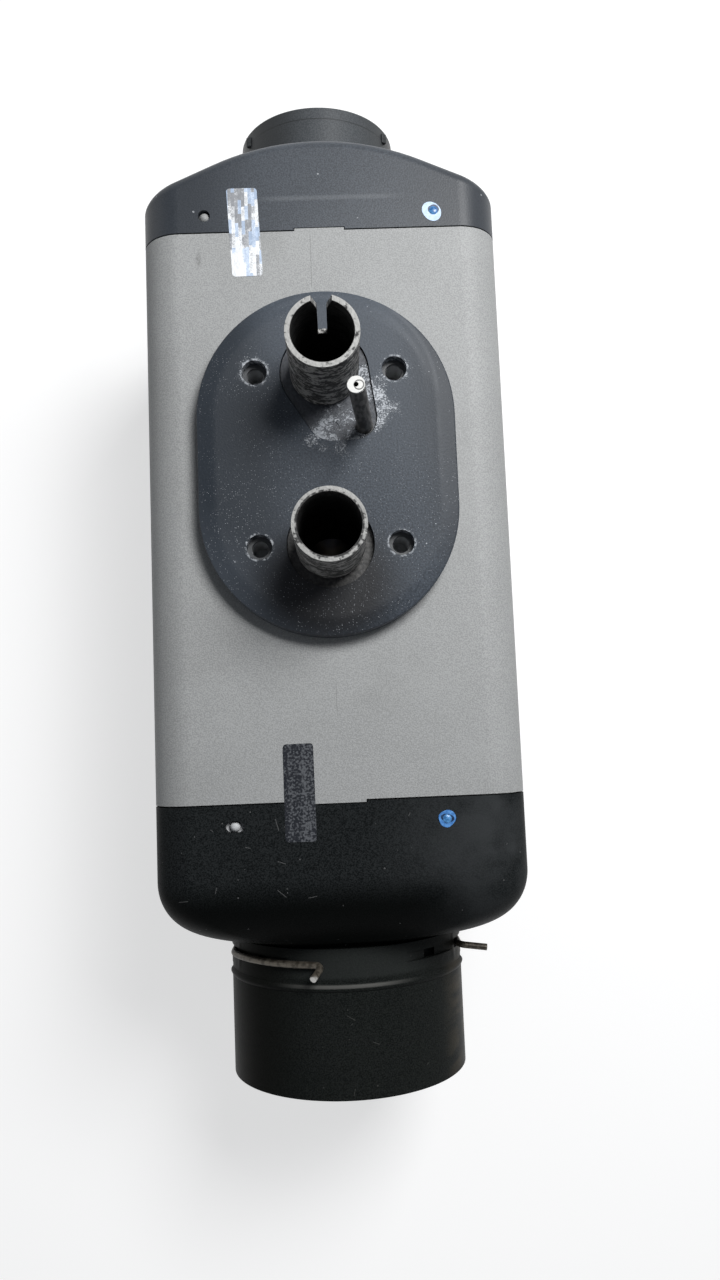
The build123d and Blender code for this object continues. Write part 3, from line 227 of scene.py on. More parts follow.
def powder_at(tree, spot, patches, height):
    """Salt powder on a level face.

    Each patch is x and y from the bolt pattern's centre and its reach, in mm, and its strength.
    """
    crumb_share, drift_share, heap_share, grit_share = 1.2, 0.9, 0.58, 0.19
    crumbs = noise(tree, spot, per_metre=1900.0, detail=4.0, roughness=0.8)
    drift = noise(tree, spot, per_metre=330.0, detail=4.0, roughness=0.65)
    heaps = []
    for dx, dy, reach, strength in patches:
        off = apart(tree, spot, (dx / 1000, flange_y + dy / 1000, height))
        edge = reach / 1000
        heaps.append(times(tree, fade(tree, off, edge * 0.2, edge), strength))
    heaped = plus(tree, times(tree, crumbs, crumb_share), times(tree, drift, drift_share),
                  times(tree, most(tree, *heaps), heap_share))
    thick = ramp(tree, heaped, 1.18, 1.66)
    grit = noise(tree, spot, per_metre=1500.0, detail=3.0, roughness=0.65)
    crust = ramp(tree, plus(tree, grit, times(tree, thick, grit_share)), 0.580, 0.665)
    crust = times(tree, crust, ramp(tree, thick, 0.02, 0.30))
    crust_share = 0.75
    return plus(tree, times(tree, crust, crust_share), times(tree, thick, 1.0 - crust_share))


def from_bolts(tree, x, y):
    """Distance from the nearest of the four bolt axes."""
    bolt_x, bolt_y = 0.0245, 0.0310
    across = minus(tree, size_of(tree, x), bolt_x)
    along = minus(tree, size_of(tree, minus(tree, y, flange_y)), bolt_y)
    return slant(tree, across, along)


def skin_of(part, finish):
    """A CAD node's shape as one smooth-shaded skin that stands for the node."""
    weld_within, sharp_over = 2e-6, math.radians(32.0)
    source = frame["nodes"][part]
    mesh = source.data.copy()
    if "custom_normal" in mesh.attributes:
        mesh.attributes.remove(mesh.attributes["custom_normal"])
    skin = bmesh.new()
    skin.from_mesh(mesh)
    bmesh.ops.remove_doubles(skin, verts=skin.verts, dist=weld_within)
    for face in skin.faces:
        face.smooth = True
    for edge in skin.edges:
        edge.smooth = edge.calc_face_angle(0.0) < sharp_over
    skin.to_mesh(mesh)
    skin.free()
    mesh.materials.clear()
    mesh.materials.append(finish)
    piece = bpy.data.objects.new(part + "_skin", mesh)
    bpy.context.scene.collection.objects.link(piece)
    weigh = piece.modifiers.new("even shading", "WEIGHTED_NORMAL")
    weigh.keep_sharp = True
    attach(piece, source["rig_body"])
    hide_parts(part)


# flange_y is the bolt pattern's centre, a little nearer to the intake than the gasket's middle.
flange_low, flange_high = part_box("flange_gasket")
bolts_off_middle = 0.00095
flange_y = (flange_low.y + flange_high.y) / 2 + bolts_off_middle

casting, tree, shader = paint("as_cast_aluminium", (0.42, 0.42, 0.41), 0.5, 1.0)
spot, x, y, z = place(tree)
rough = use(tree, grain, per_metre=900.0)
bare_tone = blend(tree, rough["Tone"], (0.33, 0.33, 0.32), (0.50, 0.50, 0.49))
slate_tone = blend(tree, rough["Tone"], (0.024, 0.028, 0.036), (0.050, 0.056, 0.068))
ash_tone = blend(tree, rough["Tone"], (0.012, 0.012, 0.012), (0.052, 0.050, 0.048))
inner_z, outer_z = 0.1335, 0.1355
outside = ramp(tree, z, inner_z, outer_z)
tone = blend(tree, outside, bare_tone, slate_tone)

# The air, exhaust and fuel bores are painted near black, as soot in the exhaust bore and as
# painted shade in the others: x and y from the bolt pattern's centre, and radius.
soot_and_shade_black, bores = (0.010, 0.010, 0.010), []
for dx, dy, radius in ((0.0, 0.0305, 0.0112), (0.0, -0.0306, 0.0112), (0.0133, 0.0109, 0.0032)):
    from_bore = from_axis(tree, spot, dx, flange_y + dy)
    bores.append(maths(tree, "LESS_THAN", from_bore, radius))
dark_bore = most(tree, *bores)
tone = blend(tree, dark_bore, tone, soot_and_shade_black)

# Each bolt hole is pale grey deep down and dark near its mouth.
bolt_hole = 0.0046
bolt_seat = maths(tree, "LESS_THAN", from_bolts(tree, x, y), bolt_hole)
seat_tone = blend(tree, outside, (0.42, 0.43, 0.44), (0.060, 0.064, 0.068))
tone = blend(tree, bolt_seat, tone, seat_tone)

exhaust_foot = (0.0, flange_y - 0.0306, 0.137)
burnt = times(tree, fade(tree, apart(tree, spot, exhaust_foot), 0.0150, 0.0170), outside)
tone = blend(tree, burnt, tone, ash_tone)
boss_salt = [(3.5, 14.4, 10.0, 0.58), (9.0, 15.5, 7.0, 0.62), (-3.0, 8.8, 5.4, 1.0),
             (1.8, 6.2, 4.6, 1.0), (9.8, 6.8, 7.0, 0.80), (14.3, 29.8, 6.0, 1.0),
             (13.8, 22.5, 7.0, 0.95), (0.0, 12.0, 5.0, 0.9)]
boss_face, salt_white = 0.139, (0.50, 0.53, 0.57)
salt = times(tree, powder_at(tree, spot, boss_salt, boss_face), outside)
tone = blend(tree, times(tree, salt, 0.75), tone, salt_white)
dirty = most(tree, outside, dark_bore, bolt_seat)
feed(tree, shader.inputs["Metallic"], maths(tree, "SUBTRACT", 1.0, dirty, clamp=True))
dress(tree, shader, tone, plus(tree, rough["Height"], times(tree, salt, 2.0)), 0.00010)
skin_of("heat_exchanger", casting)

# ---------------------------------------------------------------- burner
# Perforated sheet-steel burner with its evaporator fleece, glow plug and seat gasket.
# The steel is tinted by heat, in straw and blue patches.


def coat(finish, *parts):
    """Gives inner CAD nodes their finish."""
    for part in parts:
        mesh = frame["nodes"][part].data
        mesh.materials.clear()
        mesh.materials.append(finish)


def grained(name, colour, roughness, metallic, per_metre, dark, pale, depth=None):
    """A plain finish whose grain runs from a dark to a pale tone and may stand out by depth."""
    finish, tree, shader = paint(name, colour, roughness, metallic)
    surface = use(tree, grain, per_metre=per_metre)
    tone = blend(tree, surface["Tone"], dark, pale)
    dress(tree, shader, tone, surface["Height"] if depth else None, depth)
    return finish


straw, temper_blue = (0.30, 0.26, 0.22), (0.10, 0.11, 0.16)
burner_sheet, tree, shader = paint("heat_tinted_sheet", straw, 0.42, 1.0)
heat = ramp(tree, noise(tree, place(tree)[0], per_metre=60.0, detail=3.0), 0.4, 0.62)
dress(tree, shader, blend(tree, heat, straw, temper_blue))
coat(burner_sheet, "burner_tube")

fibre_sheet = grained("fibre_gasket_sheet", (0.09, 0.09, 0.095), 0.85, 0.0, per_metre=1500.0,
                      dark=(0.07, 0.07, 0.075), pale=(0.12, 0.12, 0.12))
coat(fibre_sheet, "burner_gasket", "blower_gasket")
fleece = grained("metal_fibre_fleece", (0.45, 0.43, 0.40), 0.9, 0.0, per_metre=3500.0,
                 dark=(0.33, 0.31, 0.29), pale=(0.55, 0.53, 0.50), depth=0.0003)
coat(fleece, "evaporator_fleece")

nickel, tree, shader = paint("nickel_plate", (0.55, 0.52, 0.48), 0.3, 1.0)
wipe = use(tree, grain, per_metre=300.0)
feed(tree, shader.inputs["Roughness"], ramp(tree, wipe["Tone"], -0.6, 1.8))
coat(nickel, "glow_plug")

# ---------------------------------------------------------------- combustion blower
# Die-cast side-channel blower bolted to the exchanger's front flange with four screws.
# Its black glass-filled impeller spins in the pocket behind the cover plate.
blower_cast = grained("blower_casting", (0.42, 0.42, 0.42), 0.48, 1.0, per_metre=1200.0,
                      dark=(0.34, 0.34, 0.34), pale=(0.50, 0.50, 0.50), depth=0.00008)
coat(blower_cast, "blower_cover", "blower_housing", "control_unit_lid")
impeller_black = grained("impeller_plastic", (0.02, 0.02, 0.022), 0.35, 0.0, per_metre=500.0,
                         dark=(0.016, 0.016, 0.018), pale=(0.03, 0.03, 0.032))
coat(impeller_black, "combustion_impeller")
zinc = grained("zinc_plated_steel", (0.52, 0.52, 0.53), 0.32, 1.0, per_metre=260.0,
               dark=(0.42, 0.42, 0.44), pale=(0.62, 0.62, 0.62))
coat(zinc, "blower_screws", "motor_screws", "motor_can", "sensor_clip")

# ---------------------------------------------------------------- motor and hot-air fan
# A small direct-current motor drives both wheels on one ground shaft.
# The black moulded fan wheel runs over the motor and pushes the cabin air along the fins.
ground, tree, shader = paint("ground_steel", (0.60, 0.60, 0.61), 0.22, 1.0)
along_shaft = node(tree, "CombineXYZ", {1: place(tree)[2]}).outputs[0]
rings = noise(tree, along_shaft, per_metre=6000.0)
feed(tree, shader.inputs["Roughness"], ramp(tree, rings, -1.0, 2.8))
coat(ground, "motor_shaft", "motor_bearings")

ferrite = grained("ferrite", (0.045, 0.045, 0.05), 0.6, 0.0, per_metre=1800.0,
                  dark=(0.035, 0.035, 0.04), pale=(0.06, 0.06, 0.065))
coat(ferrite, "motor_magnets")

windings, tree, shader = paint("copper_windings", (0.48, 0.22, 0.09), 0.35, 1.0)
wires = {"Vector": place(tree)[0], "Scale": 700.0, "Distortion": 1.5}
turns = node(tree, "TexWave", wires, bands_direction="Y").outputs["Fac"]
dark_copper, pale_copper = (0.33, 0.14, 0.055), (0.58, 0.28, 0.12)
dress(tree, shader, blend(tree, turns, dark_copper, pale_copper), turns, 0.0003)
coat(windings, "motor_armature")

fan_black = grained("fan_plastic", (0.018, 0.018, 0.020), 0.5, 0.0, per_metre=700.0,
                    dark=(0.014, 0.014, 0.016), pale=(0.045, 0.044, 0.043), depth=0.00004)
skin_of("hot_air_fan", fan_black)

# ---------------------------------------------------------------- control unit and overheat sensor
# A flat potted control box lies under the motor; the sensor is held on its pad by a spring strip.
# Both are black plastic, and the box has a finned aluminium lid.
unit_black = grained("control_unit_plastic", (0.016, 0.016, 0.018), 0.55, 0.0, per_metre=1600.0,
                     dark=(0.013, 0.013, 0.015), pale=(0.026, 0.026, 0.028))
coat(unit_black, "control_unit_case", "overheat_sensor")

# ---------------------------------------------------------------- jacket
# Two mid-grey moulded halves wrap the exchanger and meet along the middle of the sides.
# The surface is finely grained, with a faint knit line on the flange side and a few rub marks.


def stripe(tree, value, middle, half, soft):
    """1 where value is within half of middle, fading over soft."""
    return fade(tree, size_of(tree, minus(tree, value, middle)), half, half + soft)


jacket_grey, tree, shader = paint("jacket_plastic", (0.325, 0.330, 0.326), 0.58)
spot, x, y, z = place(tree)
jacket_grain = use(tree, grain, per_metre=2150.0)
tone = blend(tree, jacket_grain["Tone"], (0.262, 0.267, 0.266), (0.360, 0.367, 0.366))
grime, nub_painted_light_grey, mark_black = (0.150, 0.150, 0.142), (0.50, 0.51, 0.52), (0.10, 0.10, 0.095)
hazy = minus(tree, noise(tree, spot, per_metre=24.0, detail=3.0), times(tree, x, 2.2))
grimed = times(tree, ramp(tree, hazy, 0.52, 0.68), ramp(tree, z, 0.120, 0.131))
tone = blend(tree, times(tree, grimed, 0.12), tone, grime)
# The nub by the hood's left hole is painted paler than the jacket: painted light where it sits in
# shade.
nub_lit_spot = (-0.0364, flange_y - 0.1260, 0.1310)
tone = blend(tree, ramp(tree, apart(tree, spot, nub_lit_spot), 0.0042, 0.0034), tone, nub_painted_light_grey)

knit_top_x, knit_top_y, knit_low_y = -0.0034, flange_y + 0.0755, flange_y - 0.083
knit_top = times(tree, stripe(tree, x, knit_top_x, half=0.00008, soft=0.00014),
                 stripe(tree, y, knit_top_y, half=0.009, soft=0.002))
knit_low = times(tree, stripe(tree, x, 0.0, half=0.00006, soft=0.00012),
                 stripe(tree, y, knit_low_y, half=0.005, soft=0.002))
knit = times(tree, most(tree, knit_top, knit_low), ramp(tree, z, 0.131, 0.1315))
rub_x, rub_y = -0.0440, flange_y + 0.0768
rub = times(tree, stripe(tree, x, rub_x, half=0.0004, soft=0.0010),
            stripe(tree, y, rub_y, half=0.0010, soft=0.0035),
            ramp(tree, noise(tree, spot, per_metre=700.0, detail=3.0), 0.35, 0.6))
marks = most(tree, times(tree, knit, 0.38), times(tree, rub, 0.45))
tone = blend(tree, marks, tone, mark_black)
dress(tree, shader, tone, jacket_grain["Height"], 0.00006)
skin_of("jacket_flange_half", jacket_grey)
skin_of("jacket_back_half", jacket_grey)

# ---------------------------------------------------------------- cable grommet
# Soft black rubber plug in the side of the back half, flush with the casing.
# The leads would pass through its three holes; they are left out.
soft_rubber = grained("grommet_rubber", (0.015, 0.015, 0.016), 0.8, 0.0, per_metre=1200.0,
                      dark=(0.012, 0.012, 0.013), pale=(0.03, 0.03, 0.03))
skin_of("cable_grommet", soft_rubber)

# ---------------------------------------------------------------- outlet hood
# Near-black moulding that turns from the casing's rounded rectangle into a round neck.
# It snaps over the jacket's lip and has fine scratches and dust from handling.


def speck_effect():
    """Scattered dust specks and salt grains; Size is a speck's radius as a share of its cell."""
    wobble_per_metre, wobble_reach = 900.0, 0.0006
    starts = {"Per metre": 400.0, "Size": 0.12, "Share": 0.3}
    group, takes, gives = effect("specks", starts, ["Mask"])
    spot = node(group, "TexCoord").outputs["Object"]
    wobble = node(group, "TexNoise", {"Vector": spot, "Scale": wobble_per_metre}).outputs[1]
    wobble = vector(group, "SCALE", {0: wobble, "Scale": wobble_reach})
    uneven = vector(group, "ADD", {0: spot, 1: wobble})
    cells = node(group, "TexVoronoi", {"Vector": uneven, "Scale": takes["Per metre"]}).outputs
    near = maths(group, "LESS_THAN", cells["Distance"], takes["Size"])
    chance = node(group, "SeparateColor", {0: cells["Color"]}).outputs[0]
    chosen = maths(group, "LESS_THAN", chance, takes["Share"])
    feed(group, gives["Mask"], times(group, near, chosen))
    return group


def scratch_effect():
    """A few fine straight scratches, each at its own angle, at most one in a cell."""
    full_turn, longest, half_width = 6.3, 0.20, 0.011
    group, takes, gives = effect("scratches", {"Per metre": 60.0, "Share": 0.2}, ["Mask"])
    spot = node(group, "TexCoord").outputs["Object"]
    scaled = vector(group, "SCALE", {0: spot, "Scale": takes["Per metre"]})
    cells = node(group, "TexVoronoi", {"Vector": scaled, "Scale": 1.0}).outputs
    off = vector(group, "SUBTRACT", {0: scaled, 1: cells["Position"]})
    chance = node(group, "SeparateColor", {0: cells["Color"]}).outputs
    swing = {"Vector": off, "Angle": times(group, chance[1], full_turn)}
    turned = node(group, "VectorRotate", swing, rotation_type="Z_AXIS").outputs[0]
    parts = node(group, "SeparateXYZ", {0: turned}).outputs
    long = maths(group, "LESS_THAN", size_of(group, parts[0]), times(group, chance[2], longest))
    thin = maths(group, "LESS_THAN", size_of(group, parts[1]), half_width)
    chosen = maths(group, "LESS_THAN", chance[0], takes["Share"])
    feed(group, gives["Mask"], times(group, long, thin, chosen))
    return group


specks, scratches = speck_effect(), scratch_effect()

hood_black, tree, shader = paint("hood_plastic", (0.008, 0.009, 0.010), 0.44, gloss=0.02)
spot, x, y, z = place(tree)
hood_grain = use(tree, grain, per_metre=2200.0)
tone = blend(tree, hood_grain["Tone"], (0.0055, 0.0066, 0.0070), (0.0205, 0.0230, 0.0240))
# Painted sheen: the hood is greyed in patches towards its right side, where the light's reflection
# falls.
sheen_patches = ramp(tree, noise(tree, spot, per_metre=45.0, detail=3.0), 0.30, 0.62)
painted_sheen_mask = times(tree, ramp(tree, x, 0.004, 0.064), sheen_patches, ramp(tree, z, 0.120, 0.131))
painted_sheen_grey, unlit_black = (0.042, 0.045, 0.047), (0.0020, 0.0024, 0.0022)
worn_grey = (0.16, 0.16, 0.16)
tone = blend(tree, painted_sheen_mask, tone, painted_sheen_grey)
shoulder_y = flange_y - 0.1420
shoulder = ramp(tree, minus(tree, shoulder_y, y), 0.0, 0.014)
unlit = minus(tree, 0.9, ramp(tree, x, 0.020, 0.060))
tone = blend(tree, times(tree, shoulder, unlit), tone, unlit_black)
scores = use(tree, scratches, per_metre=90.0, share=0.16)["Mask"]
dust = use(tree, specks, per_metre=420.0, size=0.11, share=0.14)["Mask"]
worn = most(tree, times(tree, scores, 0.45), times(tree, dust, 0.5))
tone = blend(tree, worn, tone, worn_grey)
dress(tree, shader, tone, hood_grain["Height"], 0.00006)
skin_of("outlet_hood", hood_black)

# ---------------------------------------------------------------- outlet duct spigot
# Black moulded sleeve over the hood's neck, with a bead, side windows and slots for the wire.
# Its flanks carry a painted brownish reflection, and painted highlights lie along the bead and
# between the bead and the lip.
sleeve_black, tree, shader = paint("sleeve_plastic", (0.008, 0.0085, 0.009), 0.38, gloss=0.02)
spot, x, y, z = place(tree)
bead_from_box_end = 0.0136
bead_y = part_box("outlet_spigot")[1].y - bead_from_box_end
sleeve_grain = use(tree, grain, per_metre=2200.0)
tone = blend(tree, sleeve_grain["Tone"], (0.0068, 0.0080, 0.0076), (0.0175, 0.0196, 0.0186))
shade_black, neck_highlight_grey = (0.0030, 0.0032, 0.0022), (0.030, 0.033, 0.032)
painted_reflection_brown, wear_and_highlight_grey = (0.050, 0.043, 0.031), (0.09, 0.09, 0.085)
shaded = times(tree, ramp(tree, x, -0.012, -0.036), 0.75)
tone = blend(tree, shaded, tone, shade_black)
# Painted highlight: a lighter band on the sleeve between its bead and its lip, in the middle.
neck_highlight = times(tree, ramp(tree, y, bead_y + 0.0022, bead_y + 0.0040),
                stripe(tree, x, 0.006, half=0.014, soft=0.020))
tone = blend(tree, times(tree, neck_highlight, 0.55), tone, neck_highlight_grey)
# Painted reflection: a brownish sheen on both flanks, stronger on the right.
squeezed = node(tree, "Mapping", {"Vector": spot, "Scale": (1.0, 3.0, 1.0)}).outputs[0]
haze = ramp(tree, noise(tree, squeezed, per_metre=70.0, detail=4.0), 0.35, 0.70)
flank = ramp(tree, size_of(tree, x), 0.034, 0.045)
painted_reflection = times(tree, haze, flank, ramp(tree, x, -0.060, 0.030))
tone = blend(tree, painted_reflection, tone, painted_reflection_brown)

scores = use(tree, scratches, per_metre=110.0, share=0.22)["Mask"]
dust = use(tree, specks, per_metre=420.0, size=0.12, share=0.14)["Mask"]
worn = most(tree, times(tree, scores, 0.5), times(tree, dust, 0.4))
worn = times(tree, worn, stripe(tree, x, 0.010, half=0.012, soft=0.026))
# Painted highlight: a pale line along the bead's crest, mixed in with the real scratches and dust.
bead_highlight = times(tree, stripe(tree, y, bead_y + 0.0005, half=0.0003, soft=0.0006),
               stripe(tree, x, 0.000, half=0.008, soft=0.020), ramp(tree, z, 0.100, 0.106))
tone = blend(tree, most(tree, worn, bead_highlight), tone, wear_and_highlight_grey)
dress(tree, shader, tone, sleeve_grain["Height"], 0.00005)
skin_of("outlet_spigot", sleeve_black)

# ---------------------------------------------------------------- wire clip
# One bent spring wire, galvanised and yellowed, that locks the spigot on the neck.
# It is pushed into the slots by hand; its cut end on the flange side is bright.
wire_zinc, tree, shader = paint("yellowed_wire", (0.16, 0.135, 0.105), 0.45, 0.5)
spot = place(tree)[0]
patina = ramp(tree, noise(tree, spot, per_metre=500.0, detail=3.0), 0.4, 0.65)
tone = blend(tree, patina, (0.125, 0.110, 0.088), (0.042, 0.036, 0.028))
cut_end = (-0.0117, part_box("spigot_clip")[0].y + 0.0004, 0.1190)
cut_zinc = (0.62, 0.61, 0.59)
bright = ramp(tree, apart(tree, spot, cut_end), 0.0022, 0.0013)
dress(tree, shader, blend(tree, bright, tone, cut_zinc))
skin_of("spigot_clip", wire_zinc)

# ---------------------------------------------------------------- intake cap
# Charcoal moulding with an arched end, snapped over the jacket's other lip.
# The snap nubs show in its small holes, and a painted highlight marks a faint crease across behind
# them; its sides are painted darker as shade.
cap_grey, tree, shader = paint("cap_plastic", (0.044, 0.049, 0.057), 0.43, gloss=0.36)
x, y = place(tree)[1:3]
cap_grain = use(tree, grain, per_metre=1900.0)
tone = blend(tree, cap_grain["Tone"], (0.036, 0.042, 0.051), (0.064, 0.074, 0.088))
lit_x, crease_y = 0.004, flange_y + 0.0993
cap_shade_slate, dust_and_highlight_pale = (0.016, 0.020, 0.026), (0.42, 0.44, 0.46)
# Painted shade: the cap darkens towards both sides, away from its lit middle.
edges = ramp(tree, size_of(tree, minus(tree, x, lit_x)), 0.018, 0.052)
tone = blend(tree, times(tree, edges, 0.70), tone, cap_shade_slate)
# Painted highlight: a faint pale line along the crease, in the lit middle only.
crease_highlight = times(tree, stripe(tree, y, crease_y, half=0.0002, soft=0.0012),
             stripe(tree, x, lit_x, half=0.016, soft=0.014))
dust = use(tree, specks, per_metre=150.0, size=0.055, share=0.3)["Mask"]
pale = most(tree, times(tree, crease_highlight, 0.10), times(tree, dust, 0.6))
tone = blend(tree, pale, tone, dust_and_highlight_pale)
dress(tree, shader, tone, cap_grain["Height"], 0.00005)
skin_of("intake_cap", cap_grey)

# ---------------------------------------------------------------- intake spigot and finger guard
# The round stub comes from inside the cap and is held on its flange; it has a fine ring line.
# A moulded ring-and-spoke guard sits in it, in front of the fan, and two small lugs on the
# stub's sides catch the hose clip.
spigot_grey, tree, shader = paint("spigot_plastic", (0.056, 0.060, 0.064), 0.42, gloss=0.18)
x, y = place(tree)[1:3]
spigot_grain = use(tree, grain, per_metre=1900.0)
tone = blend(tree, spigot_grain["Tone"], (0.050, 0.055, 0.060), (0.080, 0.087, 0.094))
lit_x, ring_y = 0.006, flange_y + 0.1525
spigot_shade_grey, groove_grey = (0.026, 0.028, 0.029), (0.02, 0.021, 0.022)
# Painted shade: the stub darkens towards both flanks, away from its lit middle.
spigot_shaded_flanks = ramp(tree, size_of(tree, minus(tree, x, lit_x)), 0.006, 0.025)
tone = blend(tree, times(tree, spigot_shaded_flanks, 0.8), tone, spigot_shade_grey)
ring_line = stripe(tree, y, ring_y, half=0.00012, soft=0.0003)
tone = blend(tree, times(tree, ring_line, 0.6), tone, groove_grey)
dress(tree, shader, tone, spigot_grain["Height"], 0.00004)
skin_of("intake_spigot", spigot_grey)
skin_of("intake_guard", spigot_grey)


def piece_of(name, form, finish):
    """Turns a bmesh into an object of the scene, with one finish."""
    mesh = bpy.data.meshes.new(name)
    form.to_mesh(mesh)
    form.free()
    mesh.materials.append(finish)
    piece = bpy.data.objects.new(name, mesh)
    bpy.context.scene.collection.objects.link(piece)
    return piece


lug_size, lug_lean = (0.0016, 0.0042, 0.0022), 1.03
lug_x, lug_y, lug_z = 0.0282, flange_y + 0.1530, 0.0826
for name, side in (("left_hose_lug", -1), ("right_hose_lug", 1)):
    block = bmesh.new()
    bmesh.ops.create_cube(block, size=1.0)
    bmesh.ops.scale(block, verts=block.verts, vec=lug_size)
    bmesh.ops.bevel(block, geom=block.edges[:], offset=0.0004, affect="EDGES",
                    segments=2, profile=0.5, material=-1)
    lean = Matrix.Rotation(-side * lug_lean, 3, "Y")
    bmesh.ops.rotate(block, verts=block.verts, cent=(0, 0, 0), matrix=lean)
    bmesh.ops.translate(block, verts=block.verts, vec=(side * lug_x, lug_y, lug_z))
    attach(piece_of(name, block, spigot_grey), "heater")

# ---------------------------------------------------------------- flange gasket
# Thick slate-grey rubber plate over the mounting foot, dusted and speckled with salt.
# It is dished a little towards its edge; light and shade are painted on it, paler towards the
# intake, and it is sooty with a painted shadow below the exhaust pipe.
slate_rubber, tree, shader = paint("slate_rubber", (0.034, 0.038, 0.048), 0.50, gloss=0.30)
spot, x, y = place(tree)[:3]
up = minus(tree, y, flange_y)
lit_slate, lower_left_sheen_slate = (0.074, 0.088, 0.108), (0.060, 0.070, 0.085)
gasket_shade_slate, soot_and_shade_black = (0.015, 0.020, 0.027), (0.005, 0.005, 0.006)
key_lean, side_lean, lit_x = 0.15, 0.12, 0.009
rubber_grain = use(tree, grain, per_metre=1500.0)
tone = blend(tree, rubber_grain["Tone"], (0.022, 0.029, 0.039), (0.049, 0.061, 0.078))
# Painted light and shade: paler towards the key light, darker towards both sides, and a painted
# sheen on the lower left.
towards_key = ramp(tree, plus(tree, up, times(tree, x, key_lean)), -0.026, 0.062)
tone = blend(tree, times(tree, towards_key, 0.5), tone, lit_slate)
off_lit = minus(tree, plus(tree, x, times(tree, up, side_lean)), lit_x)
gasket_shaded_sides = ramp(tree, size_of(tree, off_lit), 0.017, 0.037)
tone = blend(tree, times(tree, gasket_shaded_sides, 0.85), tone, gasket_shade_slate)
lower_left_sheen = ramp(tree, minus(tree, flange_y, y, x), 0.052, 0.080)
tone = blend(tree, times(tree, lower_left_sheen, 0.50), tone, lower_left_sheen_slate)
gasket_face = 0.140
below_exhaust = (0.000, flange_y - 0.045, gasket_face)
# Soot and a painted shadow of the exhaust pipe darken the face below it.
soot_and_shadow = fade(tree, apart(tree, spot, below_exhaust), 0.012, 0.030)
tone = blend(tree, times(tree, soot_and_shadow, 0.92), tone, soot_and_shade_black)

# Salt: two sizes of specks, thicker towards the outlet, and heaps of powder on the intake side.
fine_salt = use(tree, specks, per_metre=1600.0, size=0.22, share=0.34)["Mask"]
coarse_salt = use(tree, specks, per_metre=300.0, size=0.065, share=0.26)["Mask"]
clouds = noise(tree, spot, per_metre=60.0, detail=3.0)
lower = minus(tree, 0.13, times(tree, up, 2.2))
scatter = ramp(tree, plus(tree, clouds, lower), 0.46, 0.80)
fine_part = times(tree, fine_salt, times(tree, scatter, 0.36))
coarse_part = times(tree, coarse_salt, plus(tree, times(tree, scatter, 0.5), 0.14))
gasket_salt = [(19.3, 16.9, 10.0, 0.66), (16.9, 22.0, 8.0, 0.85), (17.2, 12.6, 6.5, 0.80),
               (19.5, 26.5, 6.0, 0.55), (25.5, 31.0, 8.0, 0.58), (-24.5, 31.0, 8.0, 0.92),
               (24.5, -31.0, 7.0, 0.60), (-24.5, -31.0, 7.0, 0.56), (5.0, 3.4, 5.0, 0.46),
               (-5.0, 6.5, 4.8, 0.70), (-1.5, 3.8, 3.6, 0.40)]
powder = powder_at(tree, spot, gasket_salt, gasket_face)
flaky = noise(tree, spot, per_metre=520.0, detail=3.0, roughness=0.7)
hole_rim = times(tree, stripe(tree, from_bolts(tree, x, y), bolt_hole, half=0.00025, soft=0.0004),
                 ramp(tree, flaky, 0.46, 0.60))

# Two faint pale rings follow the rim on its upper right: a painted highlight on the dished edge.
end_centre, outer_ring, inner_ring = 0.0222, 0.0392, 0.0358
past_end = most(tree, minus(tree, size_of(tree, up), end_centre), 0.0)
from_middle = slant(tree, x, past_end)
outer = stripe(tree, from_middle, outer_ring, half=0.0002, soft=0.0009)
inner = stripe(tree, from_middle, inner_ring, half=0.0003, soft=0.0013)
rim_ring_highlight = most(tree, outer, times(tree, inner, 0.6))
upper_right = ramp(tree, plus(tree, x, up), 0.020, 0.055)
rim_ring_highlight = times(tree, rim_ring_highlight, upper_right, ramp(tree, clouds, 0.30, 0.60))

white = most(tree, fine_part, coarse_part, times(tree, powder, 0.8))
white = most(tree, white, most(tree, times(tree, rim_ring_highlight, 0.04), times(tree, hole_rim, 0.55)))
salt_white = (0.60, 0.63, 0.67)
tone = blend(tree, white, tone, salt_white)
relief = plus(tree, rubber_grain["Height"], times(tree, white, 2.0))
dress(tree, shader, tone, relief, 0.00006)
skin_of("flange_gasket", slate_rubber)

# ---------------------------------------------------------------- exhaust and combustion air pipes
# Two steel stubs pressed into the foot. Heat and salt have left them scaled and streaked.
# The rims are worn bright; the air pipe has a key slot that opens at its end.


def scale_effect():
    """Streaked oxide scale round a pipe: how pale it is and how far it stands out."""
    streak_share, pit_share = 0.72, 0.28
    group, takes, gives = effect("pipe scale", {"Stretch": 3.0}, ["Pale", "Height"])
    spot = node(group, "TexCoord").outputs["Object"]
    stretch = node(group, "CombineXYZ", {0: 1.0, 1: 1.0, 2: takes["Stretch"]}).outputs[0]
    drawn = vector(group, "MULTIPLY", {0: spot, 1: stretch})
    streaks = noise(group, drawn, per_metre=210.0, detail=4.0, roughness=0.64)
    pits = noise(group, spot, per_metre=1000.0)
    mixed = plus(group, times(group, streaks, streak_share), times(group, pits, pit_share))
    feed(group, gives["Pale"], ramp(group, mixed, 0.465, 0.575))
    feed(group, gives["Height"], mixed)
    return group


pipe_scale = scale_effect()


